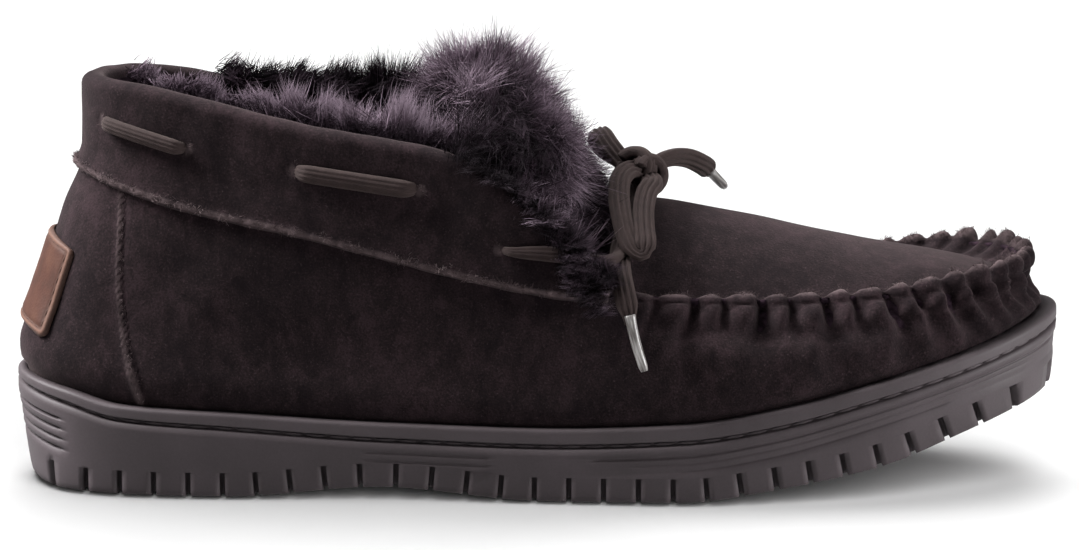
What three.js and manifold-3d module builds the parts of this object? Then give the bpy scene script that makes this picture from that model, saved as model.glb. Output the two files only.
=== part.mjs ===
// A suede moccasin slipper with a fur lining and a fur tongue, for the right foot, in millimetres.
// +X points to the toe, +Y to the inner side of the foot and +Z up. The slipper stands on z = 0,
// and the origin is under the middle of its outsole.
import * as THREE from "three";
import { mergeVertices } from "three/addons/utils/BufferGeometryUtils.js";
import Module from "manifold-3d";

const wasm = await Module();
wasm.setup();

// Driving sizes
const soleLength = 300;
const sideShift = -0.85; // brings the outsole's widest points level on both sides of y = 0
const fitGap = 0.3; // between two pieces that meet
const wallThickness = 5; // suede, skin and pressed pile together
const cupInset = 6.5; // the outsole's side wall at the cup's floor
const insoleThickness = 4;
const bandThickness = 1.4;
const bandGap = 0.45; // under the collar band, whose wall is hollow-curved
const tabThickness = 1.5;
const tabHalfTurn = 0.36; // half the heel tab's width, as an angle round the heel
const tabHeights = { low: 45, high: 73 };
const ridgeWidth = 5; // the gathered seam between vamp and plug
const laceRadius = 2.1;
const tipRadius = 1.7;
const collarBack = -129.3; // x of the collar's top edge at the back
const ridgeFront = 141.8; // x of the gathered seam at the toe
const featherStep = 0.4; // the wall's height over the rim where it leaves the cup

// Side lugs: short slots round the outsole's lower edge, one pitch apart along the shoe
const lug = { pitch: 9.8, first: -140, count: 30, slotWidth: 1.7, slotHeight: 7.4, slotDepth: 12 };

// Mesh fineness
const turns = 64; // columns round the shoe
const plugColumns = 8; // columns across the plug
const throatTurn = 17; // the column where the collar ends and the plug begins
const wallRises = [0, 0.04, 0.09, 0.16, 0.27, 0.4, 0.5, 0.6, 0.68, 0.77, 0.88, 1];

// Colours, roughness
const suedeDark = 0x2c2225;
const finishes = {
  rubber: { color: 0x464142, roughness: 0.6 },
  suede: { color: suedeDark, roughness: 0.95 },
  fur: { color: 0x483b45, roughness: 1 },
  leather: { color: 0x80655b, roughness: 0.7 },
  lace: { color: 0x3e3533, roughness: 0.9 },
  tip: { color: 0xb8b4b2, roughness: 0.25 },
};

// Outsole. station: -1 at the heel, 1 at the toe. centre: sideways place of the section's middle.
// halfWidth: before the ends are rounded. bottom, rim, floor: heights of tread, top edge and cup.
// ledge: width of the top edge.
const soleSections = [
  { station: -1, centre: -2.4, halfWidth: 38, bottom: 0, rim: 32.5, floor: 17, ledge: 2.4 },
  { station: -0.8, centre: -2.4, halfWidth: 38, bottom: 0, rim: 28.4, floor: 17, ledge: 2.8 },
  { station: -0.6, centre: -2.4, halfWidth: 38, bottom: 0, rim: 24.9, floor: 16.5, ledge: 3 },
  { station: -0.3, centre: -2.4, halfWidth: 39.5, bottom: 2.2, rim: 22, floor: 14, ledge: 3 },
  { station: 0, centre: -1.9, halfWidth: 43.5, bottom: 0, rim: 21.2, floor: 12, ledge: 3 },
  { station: 0.28, centre: -0.4, halfWidth: 49, bottom: 0, rim: 23.2, floor: 12, ledge: 3 },
  { station: 0.45, centre: 0.8, halfWidth: 51, bottom: 3.3, rim: 26.8, floor: 15, ledge: 3.1 },
  { station: 0.65, centre: 2.4, halfWidth: 51.5, bottom: 10, rim: 34.2, floor: 22.5, ledge: 3.5 },
  { station: 0.85, centre: 3.8, halfWidth: 50.5, bottom: 21, rim: 42.3, floor: 32, ledge: 4.3 },
  { station: 1, centre: 4.6, halfWidth: 49, bottom: 29, rim: 49, floor: 38.5, ledge: 5 },
];
const soleEnds = { heel: 7, toe: 5 }; // the larger, the blunter

// Outsole side wall from tread to rim. rise: share of its height. inset: from the widest outline.
const soleSideWall = [
  { rise: 0, inset: 6 },
  { rise: 0.07, inset: 3.8 },
  { rise: 0.35, inset: 2.2 },
  { rise: 0.65, inset: 0.8 },
  { rise: 0.86, inset: 0 },
  { rise: 0.95, inset: 0.5 },
  { rise: 1, inset: 1.5 },
];

// Top edge of the wall: collar behind the throat, gathered ridge in front of it. seam: height of
// the collar band's lower edge. drop: how far the plug's edge lies under the ridge. crown: rise of
// the plug's middle over its edge. swell: share of the wall's own bulge.
const topSections = [
  { station: -1, centre: -2.4, halfWidth: 29, height: 118, seam: 91, drop: 0, crown: 0, swell: 1 },
  { station: -0.9, centre: -2.4, halfWidth: 29, height: 117.4, seam: 87, drop: 0, crown: 0, swell: 1 },
  { station: -0.75, centre: -2.4, halfWidth: 30, height: 114.6, seam: 81.5, drop: 0, crown: 0, swell: 1 },
  { station: -0.55, centre: -2.4, halfWidth: 34, height: 108.6, seam: 76.3, drop: 0, crown: 0, swell: 1 },
  { station: -0.25, centre: -1.9, halfWidth: 38, height: 100.5, seam: 66.5, drop: 0, crown: 0, swell: 1 },
  { station: -0.12, centre: -1.4, halfWidth: 40, height: 91, seam: 62.5, drop: 0, crown: 0, swell: 1 },
  { station: 0, centre: -0.9, halfWidth: 41, height: 77, seam: 59.5, drop: 1, crown: 19, swell: 1 },
  { station: 0.1, centre: -0.4, halfWidth: 42, height: 64, seam: 57.5, drop: 1.2, crown: 19.5, swell: 1 },
  { station: 0.18, centre: 0.3, halfWidth: 42, height: 59.8, seam: 56, drop: 1.5, crown: 22.5, swell: 1 },
  { station: 0.4, centre: 1.6, halfWidth: 41.5, height: 59.5, seam: 56, drop: 2.5, crown: 18.8, swell: 1 },
  { station: 0.65, centre: 3.1, halfWidth: 40.5, height: 61, seam: 56, drop: 3.5, crown: 11, swell: 0.7 },
  { station: 0.85, centre: 4.1, halfWidth: 40, height: 64.8, seam: 56, drop: 5, crown: 4.5, swell: 0.2 },
  { station: 1, centre: 4.6, halfWidth: 39, height: 66.5, seam: 56, drop: 6, crown: 0, swell: -0.3 },
];
const topEnds = { heel: 7, toe: 6.5 };

// Shape of the wall between rim and top edge. rise: share of the height. lean: share of the way
// from the rim's outline to the top edge's. bulge: stand-out from that line.
const rearWall = [
  { rise: 0, lean: 0, bulge: 0 },
  { rise: 0.04, lean: 0, bulge: 2 },
  { rise: 0.09, lean: 0.01, bulge: 2.4 },
  { rise: 0.16, lean: 0.06, bulge: 1.5 },
  { rise: 0.27, lean: 0.21, bulge: 0.7 },
  { rise: 0.4, lean: 0.42, bulge: 1 },
  { rise: 0.55, lean: 0.66, bulge: 1.2 },
  { rise: 0.68, lean: 0.88, bulge: 0.6 },
  { rise: 0.76, lean: 0.97, bulge: 0 },
  { rise: 0.9, lean: 0.99, bulge: 0 },
  { rise: 1, lean: 1, bulge: 0 },
];
const foreWall = [
  { rise: 0, lean: 0, bulge: 0 },
  { rise: 0.1, lean: 0.02, bulge: 2.4 },
  { rise: 0.3, lean: 0.1, bulge: 3.8 },
  { rise: 0.5, lean: 0.25, bulge: 4.2 },
  { rise: 0.7, lean: 0.52, bulge: 3.6 },
  { rise: 0.87, lean: 0.82, bulge: 1.8 },
  { rise: 1, lean: 1, bulge: 0 },
];
const wallBlend = { from: -0.25, to: 0.25 }; // stations between which the rear wall turns fore

// Fur tongue, a fold leaning back out of the throat. x, z: middle of the section. halfThick: across
// the fold. halfWidth: from side to side. drape: how far its sides hang, so that its root follows
// the plug's edge.
const tongueSections = [
  { x: 13.3, z: 68, halfThick: 4.5, halfWidth: 22, drape: 13 },
  { x: 10.6, z: 75, halfThick: 9, halfWidth: 27, drape: 15 },
  { x: 4, z: 85.5, halfThick: 13.2, halfWidth: 31, drape: 14 },
  { x: -5, z: 97, halfThick: 16.4, halfWidth: 33, drape: 8 },
  { x: -13, z: 107.5, halfThick: 17.5, halfWidth: 34, drape: 5 },
  { x: -19, z: 116.5, halfThick: 14, halfWidth: 29, drape: 3 },
  { x: -22, z: 121.5, halfThick: 8.5, halfWidth: 21, drape: 1.5 },
];
const tongueTip = { x: -23.5, z: 124.5 };
const tongueSides = 24;

// Visible lace runs on the collar band. place along the shoe and height of both ends.
const laceRuns = [
  { name: "lace_rear", from: { station: -0.93, z: 106 }, to: { station: -0.755, z: 101.3 } },
  { name: "lace_side", from: { station: -0.53, z: 95.5 }, to: { station: -0.29, z: 89.5 } },
];
const laceFrontOnBand = [
  { station: -0.12, z: 73 },
  { station: -0.04, z: 72.4 },
  { station: 0.04, z: 71.2 },
];

// Bow and front runs: places that each lace goes through, on the outer and the inner side
const knot = { x: 29.5, y: 0, z: 88.2, radii: [7.6, 7.4, 6.6] };
const bowRoutes = {
  lace_front_outer: [
    [19, -42.4, 69.4], [24, -31.5, 71.6], [26, -20, 78], [26.2, -6.4, 84.6],
  ],
  lace_front_inner: [
    [19, 41.6, 69.6], [24, 32.5, 72], [26, 21, 78], [26.4, 6.6, 84.6],
  ],
  bow_loop_outer: [
    [26.6, -7.6, 89.4], [23.4, -17, 92.4], [21.3, -27.6, 88], [21.1, -35.4, 81], [23.3, -40.4, 75],
    [27.5, -42.4, 71.4], [31.5, -40, 74], [32.8, -33, 80.5], [32.6, -23, 86.5], [32.5, -13.5, 89],
    [32, -7.4, 89],
  ],
  bow_loop_inner: [
    [22.3, 3.6, 89.8], [16.5, 7.6, 93.6], [13, 15, 96.4], [13.4, 22.5, 96.2], [17.5, 26, 94.2],
    [22.5, 24.5, 91.6], [26.8, 17.4, 89.6], [28.9, 7.9, 88.6],
  ],
  bow_end_outer: [
    [31.8, -6.6, 84.4], [33, -17, 80.4], [32.6, -28.5, 75.4], [30.2, -36.6, 68.4], [27.6, -43.5, 64.6],
    [26.2, -50.3, 60.7], [25.8, -53.2, 56],
  ],
  bow_end_inner: [[37.5, 3.2, 88.6], [41.4, 7, 90.8], [45.4, 13, 91], [48.8, 20.5, 88.6], [51, 28, 84.6]],
};
const tipRoutes = {
  lace_tip_outer: [[25.9, -53.5, 55.1], [27.3, -54.4, 47.6], [29.2, -55, 40]],
  lace_tip_inner: [[51.15, 28.5, 84.3], [52.7, 32.6, 81], [54.4, 37, 77.6]],
};
const cordSides = 8;

// Value of a table's column at a station: a smooth curve through the rows
function along(table, key, column, at) {
  const last = table.length - 1;
  if (at <= table[0][key]) return table[0][column];
  if (at >= table[last][key]) return table[last][column];
  let row = 0;
  while (table[row + 1][key] < at) row += 1;
  const slope = (a, b) => (table[b][column] - table[a][column]) / (table[b][key] - table[a][key]);
  const middle = slope(row, row + 1);
  const limit = (a, b) => (a * b <= 0 ? 0 : (2 * a * b) / (a + b));
  const enter = row > 0 ? limit(slope(row - 1, row), middle) : middle;
  const leave = row + 2 <= last ? limit(middle, slope(row + 1, row + 2)) : middle;
  const span = table[row + 1][key] - table[row][key];
  const t = (at - table[row][key]) / span;
  const fromRow = (1 + 2 * t) * (1 - t) ** 2 * table[row][column];
  const toRow = t * t * (3 - 2 * t) * table[row + 1][column];
  const bend = t * (1 - t) ** 2 * enter + t * t * (t - 1) * leave;
  return fromRow + toRow + span * bend;
}

const soleAt = (column, station) => along(soleSections, "station", column, station);
const topAt = (column, station) => along(topSections, "station", column, station);
const mix = THREE.MathUtils.lerp;

// Share of the full half width left near a rounded end
function endRound(station, ends) {
  return Math.sqrt(Math.max(0, 1 - Math.abs(station) ** (station < 0 ? ends.heel : ends.toe)));
}

// A turn runs from 0 at the heel along the outer side to PI at the toe and back along the inner side
const stationOf = (turn) => -Math.cos(turn);
const sideOf = (turn) => (THREE.MathUtils.euclideanModulo(turn, 2 * Math.PI) <= Math.PI ? -1 : 1);
const turnOf = (station, side) => (side < 0 ? Math.acos(-station) : 2 * Math.PI - Math.acos(-station));

// Outline of the outsole, drawn in by inset
function soleOutline(turn, inset) {
  const station = stationOf(turn);
  const half = (soleAt("halfWidth", station) - inset) * endRound(station, soleEnds);
  return new THREE.Vector2(
    station * (soleLength / 2 - inset),
    soleAt("centre", station) + sideOf(turn) * half,
  );
}

// Outline of the collar and the gathered ridge, drawn in by inset
function topOutline(turn, inset) {
  const station = stationOf(turn);
  const half = (topAt("halfWidth", station) - inset) * endRound(station, topEnds);
  return new THREE.Vector2(
    mix(collarBack + inset, ridgeFront - inset, (station + 1) / 2),
    topAt("centre", station) + sideOf(turn) * half,
  );
}

// Outward direction of the outsole's outline, level with the floor
function outwards(turn) {
  const step = 0.01;
  const tangent = soleOutline(turn + step, 0).sub(soleOutline(turn - step, 0)).normalize();
  return new THREE.Vector2(tangent.y, -tangent.x);
}

// 0 behind the throat and 1 in front of it
const foreShare = (station) => THREE.MathUtils.smoothstep(station, wallBlend.from, wallBlend.to);
const featherHeight = (station) => soleAt("rim", station) + featherStep;

// The upper's own function: a point of the wall, drawn in by inset, at a share of its height
function wallPoint(turn, rise, inset = 0, topDrop = 0) {
  const station = stationOf(turn);
  const fore = foreShare(station);
  const wallAt = (table, column) => along(table, "rise", column, rise);
  const shape = (column) => mix(wallAt(rearWall, column), wallAt(foreWall, column), fore);
  const bulge = shape("bulge") * topAt("swell", station);
  const foot = soleOutline(turn, soleAt("ledge", station) + fitGap + inset);
  const plan = foot.lerp(topOutline(turn, inset), shape("lean")).addScaledVector(outwards(turn), bulge);
  const height = mix(featherHeight(station), topAt("height", station) - topDrop, rise);
  return new THREE.Vector3(plan.x, plan.y, height);
}

// A point that stands off the wall, square to it
function proudPoint(turn, rise, offset) {
  const step = 0.004;
  const high = Math.min(1, rise + step);
  const low = high - 2 * step;
  const across = wallPoint(turn + step, rise).sub(wallPoint(turn - step, rise));
  const up = wallPoint(turn, high).sub(wallPoint(turn, low));
  return wallPoint(turn, rise).addScaledVector(across.cross(up).normalize(), offset);
}

// Share of the wall's height at which it is z high
function riseAt(turn, z) {
  const station = stationOf(turn);
  const low = featherHeight(station);
  return (z - low) / (topAt("height", station) - low);
}

// The plug's edge, just inside the ridge, drawn in by inset
function plugEdge(turn, inset, drop) {
  const station = stationOf(turn);
  const plan = topOutline(turn, ridgeWidth + inset);
  return new THREE.Vector3(plan.x, plan.y, topAt("height", station) - topAt("drop", station) - drop);
}

// A triangle mesh under construction
class Surface {
  points = [];
  faces = [];

  add(point) {
    this.points.push(point);
    return this.points.length - 1;
  }

  row(points) {
    return points.map((point) => this.add(point));
  }

  quad(a, b, c, d) {
    this.faces.push([a, b, c], [a, c, d]);
  }

  // Band between two rows of equal length, seen from its front with lower to the left of upper
  strip(lower, upper, closed = true) {
    const count = closed ? lower.length : lower.length - 1;
    for (let i = 0; i < count; i += 1) {
      const next = (i + 1) % lower.length;
      this.quad(lower[i], lower[next], upper[next], upper[i]);
    }
  }

  // Flat-across lid on a loop that starts at the heel, facing up or down
  lid(loop, up) {
    const half = loop.length / 2;
    for (let i = 0; i < half; i += 1) {
      const across = (k) => loop[(loop.length - k) % loop.length];
      const corners = [loop[i], loop[i + 1], across(i + 1), across(i)];
      const distinct = corners.filter((corner, k) => corners.indexOf(corner) === k);
      if (!up) distinct.reverse();
      for (let k = 1; k + 1 < distinct.length; k += 1) {
        this.faces.push([distinct[0], distinct[k], distinct[k + 1]]);
      }
    }
  }

  geometry() {
    const made = new THREE.BufferGeometry().setFromPoints(this.points);
    made.setIndex(this.faces.flat());
    made.computeVertexNormals();
    return made;
  }
}

const allTurns = Array.from({ length: turns }, (_, i) => (2 * Math.PI * i) / turns);
const loopOf = (point) => allTurns.map(point);

// A three.js geometry as a solid that can be cut
function solidOf(geometry) {
  const bare = geometry.clone();
  bare.deleteAttribute("normal");
  bare.deleteAttribute("uv");
  const merged = mergeVertices(bare, 1e-3);
  return new wasm.Manifold(
    new wasm.Mesh({
      numProp: 3,
      vertProperties: new Float32Array(merged.attributes.position.array),
      triVerts: new Uint32Array(merged.index.array),
    }),
  );
}

function geometryOf(solid) {
  const mesh = solid.getMesh();
  const made = new THREE.BufferGeometry();
  made.setAttribute("position", new THREE.BufferAttribute(mesh.vertProperties, 3));
  made.setIndex(new THREE.BufferAttribute(mesh.triVerts, 1));
  made.computeVertexNormals();
  return made;
}

// Cup outsole: side wall up to the rim, over it and down to the cup's floor
function cupSole() {
  const surface = new Surface();
  const ring = (inset, height) =>
    surface.row(
      loopOf((turn) => {
        const station = stationOf(turn);
        const plan = soleOutline(turn, inset(station));
        return new THREE.Vector3(plan.x, plan.y, height(station));
      }),
    );
  const rimHeight = (station) => soleAt("rim", station);
  const rings = soleSideWall.map(({ rise, inset }) =>
    ring(() => inset, (station) => mix(soleAt("bottom", station), rimHeight(station), rise)),
  );
  rings.push(ring((station) => soleAt("ledge", station), rimHeight));
  rings.push(ring(() => cupInset, (station) => soleAt("floor", station)));
  surface.lid(rings[0], false);
  rings.slice(1).forEach((upper, i) => surface.strip(rings[i], upper));
  surface.lid(rings.at(-1), true);
  return surface.geometry();
}

// One lug slot: a thin block square to the tread, reaching in from one side
function lugSlot(x, side) {
  const station = x / (soleLength / 2 - soleSideWall[2].inset);
  const turn = turnOf(station, side);
  const step = 0.01;
  const slope = (soleAt("bottom", station + step) - soleAt("bottom", station - step)) / (step * soleLength);
  const edge = soleOutline(turn, 0);
  const outside = 12;
  const depth = lug.slotDepth + outside;
  const slot = new THREE.BoxGeometry(lug.slotWidth, depth, 2 * lug.slotHeight);
  slot.rotateY(-Math.atan(slope));
  slot.translate(x, edge.y + side * (outside - depth / 2), soleAt("bottom", station));
  return solidOf(slot);
}

function outsole() {
  let solid = solidOf(cupSole());
  for (let i = 0; i < lug.count; i += 1) {
    const x = lug.first + lug.pitch * i;
    for (const side of [-1, 1]) solid = solid.subtract(lugSlot(x, side));
  }
  return geometryOf(solid);
}

function insole() {
  const surface = new Surface();
  const inset = cupInset + wallThickness + 2 * fitGap;
  const ring = (lift) =>
    surface.row(
      loopOf((turn) => {
        const plan = soleOutline(turn, inset);
        return new THREE.Vector3(plan.x, plan.y, soleAt("floor", stationOf(turn)) + lift);
      }),
    );
  const low = ring(fitGap);
  const high = ring(fitGap + insoleThickness);
  surface.lid(low, false);
  surface.strip(low, high);
  surface.lid(high, true);
  return surface.geometry();
}

// One face of the upper: wall rings, then the ridge's inner foot, then the plug's rows
function upperFace(surface, inset) {
  const inner = inset > 0;
  const topDrop = (turn) => {
    const station = stationOf(turn);
    const front = THREE.MathUtils.smoothstep(station, 0, 0.12);
    return inner ? front * (topAt("drop", station) + 0.8 * inset) : 0;
  };
  const tuck = surface.row(
    loopOf((turn) => {
      const plan = soleOutline(turn, cupInset + fitGap + inset);
      return new THREE.Vector3(plan.x, plan.y, soleAt("floor", stationOf(turn)) + fitGap);
    }),
  );
  const wallRow = (rise) => loopOf((turn) => wallPoint(turn, rise, inset, topDrop(turn)));
  const walls = wallRises.map((rise) => surface.row(wallRow(rise)));
  const edges = new Map();
  for (let i = throatTurn; i <= turns - throatTurn; i += 1) {
    edges.set(i, surface.add(plugEdge(allTurns[i], 0.6 * inset, inset)));
  }
  const rows = [];
  for (let i = throatTurn; i < turns / 2; i += 1) {
    const near = surface.points[edges.get(i)];
    const far = surface.points[edges.get(turns - i)];
    const crown = topAt("crown", stationOf(allTurns[i]));
    const row = [edges.get(i)];
    for (let k = 1; k < plugColumns; k += 1) {
      const u = k / plugColumns;
      const point = near.clone().lerp(far, u);
      point.z += crown * (1 - (2 * u - 1) ** 2);
      row.push(surface.add(point));
    }
    row.push(edges.get(turns - i));
    rows.push(row);
  }
  return { rings: [tuck, ...walls], edges, rows, tip: edges.get(turns / 2) };
}

// Joins one face's points; the inner face is turned to look inwards
function skinFace(surface, face, inner) {
  const start = surface.faces.length;
  face.rings.slice(1).forEach((upper, i) => surface.strip(face.rings[i], upper));
  const ridge = face.rings.at(-1);
  for (let i = throatTurn; i < turns - throatTurn; i += 1) {
    surface.quad(ridge[i], ridge[i + 1], face.edges.get(i + 1), face.edges.get(i));
  }
  face.rows.slice(1).forEach((row, i) => surface.strip(row, face.rows[i], false));
  const last = face.rows.at(-1);
  for (let k = 0; k < plugColumns; k += 1) surface.faces.push([last[k], face.tip, last[k + 1]]);
  if (inner) surface.faces.slice(start).forEach((corners) => corners.reverse());
}

// The opening's edge: round the collar by the heel, then across the plug at the throat
function openingPath(face) {
  const ridge = face.rings.at(-1);
  const collar = [...ridge.slice(turns - throatTurn), ...ridge.slice(0, throatTurn + 1)];
  return [...collar, ...face.rows[0]];
}

function upper() {
  const surface = new Surface();
  const outside = upperFace(surface, 0);
  const inside = upperFace(surface, wallThickness);
  skinFace(surface, outside, false);
  skinFace(surface, inside, true);
  surface.strip(inside.rings[0], outside.rings[0]);
  surface.strip(openingPath(outside), openingPath(inside));
  return surface.geometry();
}

// A plate lying on the wall between two larger forms of it: columns run along, rows run up
function overlay(columns, rows, place, offsets) {
  const surface = new Surface();
  const grid = (offset) =>
    Array.from({ length: rows + 1 }, (_, j) =>
      surface.row(
        Array.from({ length: columns + 1 }, (_, i) => {
          const { turn, rise } = place(i / columns, j / rows);
          return proudPoint(turn, rise, offset);
        }),
      ),
    );
  const under = grid(offsets.from);
  const over = grid(offsets.to);
  const border = (rowsOf) => [
    ...rowsOf[0],
    ...rowsOf.slice(1).map((row) => row.at(-1)),
    ...rowsOf.at(-1).slice(0, -1).toReversed(),
    ...rowsOf.slice(1, -1).map((row) => row[0]).toReversed(),
  ];
  over.slice(1).forEach((upperRow, j) => surface.strip(over[j], upperRow, false));
  under.slice(1).forEach((upperRow, j) => surface.strip(upperRow, under[j], false));
  surface.strip(border(under), border(over));
  return surface.geometry();
}

// Collar band from throat to throat round the heel, between its seam and the collar's edge
function collarBand() {
  const frontTurn = (2 * Math.PI * throatTurn) / turns;
  const topShare = 0.985;
  const place = (u, v) => {
    const turn = mix(-frontTurn, frontTurn, u);
    const around = turn < 0 ? turn + 2 * Math.PI : turn;
    return { turn: around, rise: mix(riseAt(around, topAt("seam", stationOf(around))), topShare, v) };
  };
  return overlay(2 * throatTurn, 4, place, { from: bandGap, to: bandGap + bandThickness });
}

// Leather patch on the heel
function heelTab() {
  const place = (u, v) => {
    const turn = mix(-tabHalfTurn, tabHalfTurn, u);
    const around = turn < 0 ? turn + 2 * Math.PI : turn;
    return { turn: around, rise: riseAt(around, mix(tabHeights.low, tabHeights.high, v)) };
  };
  return overlay(12, 4, place, { from: fitGap, to: fitGap + tabThickness });
}

// Fur tongue: rounded sections square to the fold's own line, closed at both ends
function tongue() {
  const surface = new Surface();
  const middles = tongueSections.map(({ x, z }) => new THREE.Vector3(x, 0, z));
  const rings = tongueSections.map((section, i) => {
    const before = middles[Math.max(0, i - 1)];
    const after = middles[Math.min(middles.length - 1, i + 1)];
    const line = after.clone().sub(before).normalize();
    const front = new THREE.Vector3(line.z, 0, -line.x);
    return surface.row(
      Array.from({ length: tongueSides }, (_, k) => {
        const angle = (2 * Math.PI * k) / tongueSides;
        const point = middles[i].clone().addScaledVector(front, section.halfThick * Math.cos(angle));
        point.y += section.halfWidth * Math.sin(angle);
        point.z -= section.drape * Math.sin(angle) ** 2;
        return point;
      }),
    );
  });
  const cap = (ring, middle, up) => {
    const centre = surface.add(middle);
    ring.forEach((corner, k) => {
      const next = ring[(k + 1) % ring.length];
      surface.faces.push(up ? [corner, next, centre] : [next, corner, centre]);
    });
  };
  cap(rings[0], middles[0], false);
  rings.slice(1).forEach((upperRing, i) => surface.strip(rings[i], upperRing));
  cap(rings.at(-1), new THREE.Vector3(tongueTip.x, 0, tongueTip.z), true);
  return surface.geometry();
}

// A round cord along a smooth curve through the points
function cord(points, radius, steps) {
  const section = new THREE.Shape(
    Array.from({ length: cordSides }, (_, k) => {
      const angle = (2 * Math.PI * k) / cordSides;
      return new THREE.Vector2(radius * Math.cos(angle), radius * Math.sin(angle));
    }),
  );
  const curve = new THREE.CatmullRomCurve3(points, false, "centripetal");
  return new THREE.ExtrudeGeometry(section, { steps, extrudePath: curve, bevelEnabled: false });
}

// A lace run that lies on the collar band
function laceOnBand(run, side) {
  const offset = bandGap + bandThickness + fitGap + laceRadius;
  const stops = 6;
  const points = Array.from({ length: stops + 1 }, (_, i) => {
    const share = i / stops;
    const turn = turnOf(mix(run.from.station, run.to.station, share), side);
    return proudPoint(turn, riseAt(turn, mix(run.from.z, run.to.z, share)), offset);
  });
  return cord(points, laceRadius, stops);
}

// The front run leaves the band and goes over the throat to the knot
function laceFront(route, side) {
  const offset = bandGap + bandThickness + fitGap + laceRadius;
  const onBand = laceFrontOnBand.map(({ station, z }) => {
    const turn = turnOf(station, side);
    return proudPoint(turn, riseAt(turn, z), offset);
  });
  return cord([...onBand, ...route.map((place) => new THREE.Vector3(...place))], laceRadius, 14);
}

function bowKnot() {
  const ball = new THREE.SphereGeometry(1, 14, 9);
  ball.scale(...knot.radii);
  ball.translate(knot.x, knot.y, knot.z);
  return ball;
}

const slipper = new THREE.Group();
slipper.position.y = sideShift;

function addPiece(name, geometry, finish) {
  const material = new THREE.MeshStandardMaterial({ ...finishes[finish], metalness: 0 });
  const piece = new THREE.Mesh(geometry, material);
  piece.name = name;
  slipper.add(piece);
}

const routeOf = (places) => places.map((place) => new THREE.Vector3(...place));

addPiece("outsole", outsole(), "rubber");
addPiece("insole", insole(), "fur");
addPiece("upper", upper(), "suede");
addPiece("collar_band", collarBand(), "suede");
addPiece("heel_tab", heelTab(), "leather");
addPiece("tongue", tongue(), "fur");
for (const [sideName, side] of [["outer", -1], ["inner", 1]]) {
  for (const run of laceRuns) addPiece(`${run.name}_${sideName}`, laceOnBand(run, side), "lace");
  addPiece(`lace_front_${sideName}`, laceFront(bowRoutes[`lace_front_${sideName}`], side), "lace");
  const loop = routeOf(bowRoutes[`bow_loop_${sideName}`]);
  const end = routeOf(bowRoutes[`bow_end_${sideName}`]);
  const tip = routeOf(tipRoutes[`lace_tip_${sideName}`]);
  addPiece(`bow_loop_${sideName}`, cord(loop, laceRadius, 22), "lace");
  addPiece(`bow_end_${sideName}`, cord(end, laceRadius, 12), "lace");
  addPiece(`lace_tip_${sideName}`, cord(tip, tipRadius, 3), "tip");
}
addPiece("bow_knot", bowKnot(), "lace");

export default slipper;
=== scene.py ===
# Fur-lined suede moccasin slipper. Shoe sizes are in millimetres and turn to metres when a mesh is made.
import math

import bpy
import numpy as np
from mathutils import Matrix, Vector


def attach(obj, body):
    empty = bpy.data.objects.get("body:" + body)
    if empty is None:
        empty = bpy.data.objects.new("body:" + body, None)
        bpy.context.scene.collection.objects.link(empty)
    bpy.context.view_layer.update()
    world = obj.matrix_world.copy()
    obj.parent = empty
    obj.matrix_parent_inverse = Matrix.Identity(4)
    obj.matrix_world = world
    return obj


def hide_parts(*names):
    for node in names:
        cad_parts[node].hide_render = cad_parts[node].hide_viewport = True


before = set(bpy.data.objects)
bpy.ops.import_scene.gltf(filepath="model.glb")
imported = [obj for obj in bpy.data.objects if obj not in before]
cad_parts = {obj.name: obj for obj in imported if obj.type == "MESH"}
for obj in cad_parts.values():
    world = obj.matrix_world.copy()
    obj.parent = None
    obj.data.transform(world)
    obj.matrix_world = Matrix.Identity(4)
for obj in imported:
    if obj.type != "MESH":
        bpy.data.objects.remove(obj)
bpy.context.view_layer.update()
scene = bpy.context.scene
mm = 0.001
pi = math.pi
sideShift = np.array([0, -0.85, 0])  # the shoe's middle line lies this far beside the frame's
print("frame:", len(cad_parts), "nodes")


# Small helpers

def mix(a, b, share):
    # the share of the way from a to b
    return a + (b - a) * share


def smooth(low, high, value):
    # 0 below low, 1 above high, and 3t^2 - 2t^3 between them
    t = np.clip((value - low) / (high - low), 0, 1)
    return t * t * (3 - 2 * t)


def unit(vectors):
    # each vector divided by its own length
    return vectors / np.maximum(np.linalg.norm(vectors, axis=-1, keepdims=True), 1e-9)


def bump(value, width, power=2.0):
    # a hill one high at 0, falling as exp(-|value/width|^power)
    return np.exp(-np.abs(value / width) ** power)


def columnsOf(names, rows):
    # a table as one array for each named column
    return dict(zip(names.split(), np.array(rows, float).T))


def along(table, key, column, at):
    # cubic pieces through the rows; the slope at a row is the harmonic mean of those beside it
    x, y = table[key], table[column]
    at = np.clip(at, x[0], x[-1])
    slope = np.diff(y) / np.diff(x)
    product = slope[:-1] * slope[1:]
    rising = product > 0
    middle = np.where(rising, 2 * product / np.where(rising, slope[:-1] + slope[1:], 1), 0)
    bend = np.concatenate([slope[:1], middle, slope[-1:]])
    row = np.clip(np.searchsorted(x, at) - 1, 0, len(x) - 2)
    span = x[row + 1] - x[row]
    t = (at - x[row]) / span
    straight = (1 + 2 * t) * (1 - t) ** 2 * y[row] + t * t * (3 - 2 * t) * y[row + 1]
    return straight + span * (t * (1 - t) ** 2 * bend[row] + t * t * (t - 1) * bend[row + 1])


def uneven(points, size, seed, waves=7):
    # sum of sines running in random directions, about size long, from -1 to 1
    rng = np.random.default_rng(seed)
    ways = unit(rng.normal(size=(waves, 3))) * (2 * pi / (size * rng.uniform(0.7, 1.5, (waves, 1))))
    phases = rng.uniform(0, 2 * pi, waves)
    return np.sin(points @ ways.T + phases).sum(-1) / waves ** 0.75


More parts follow.
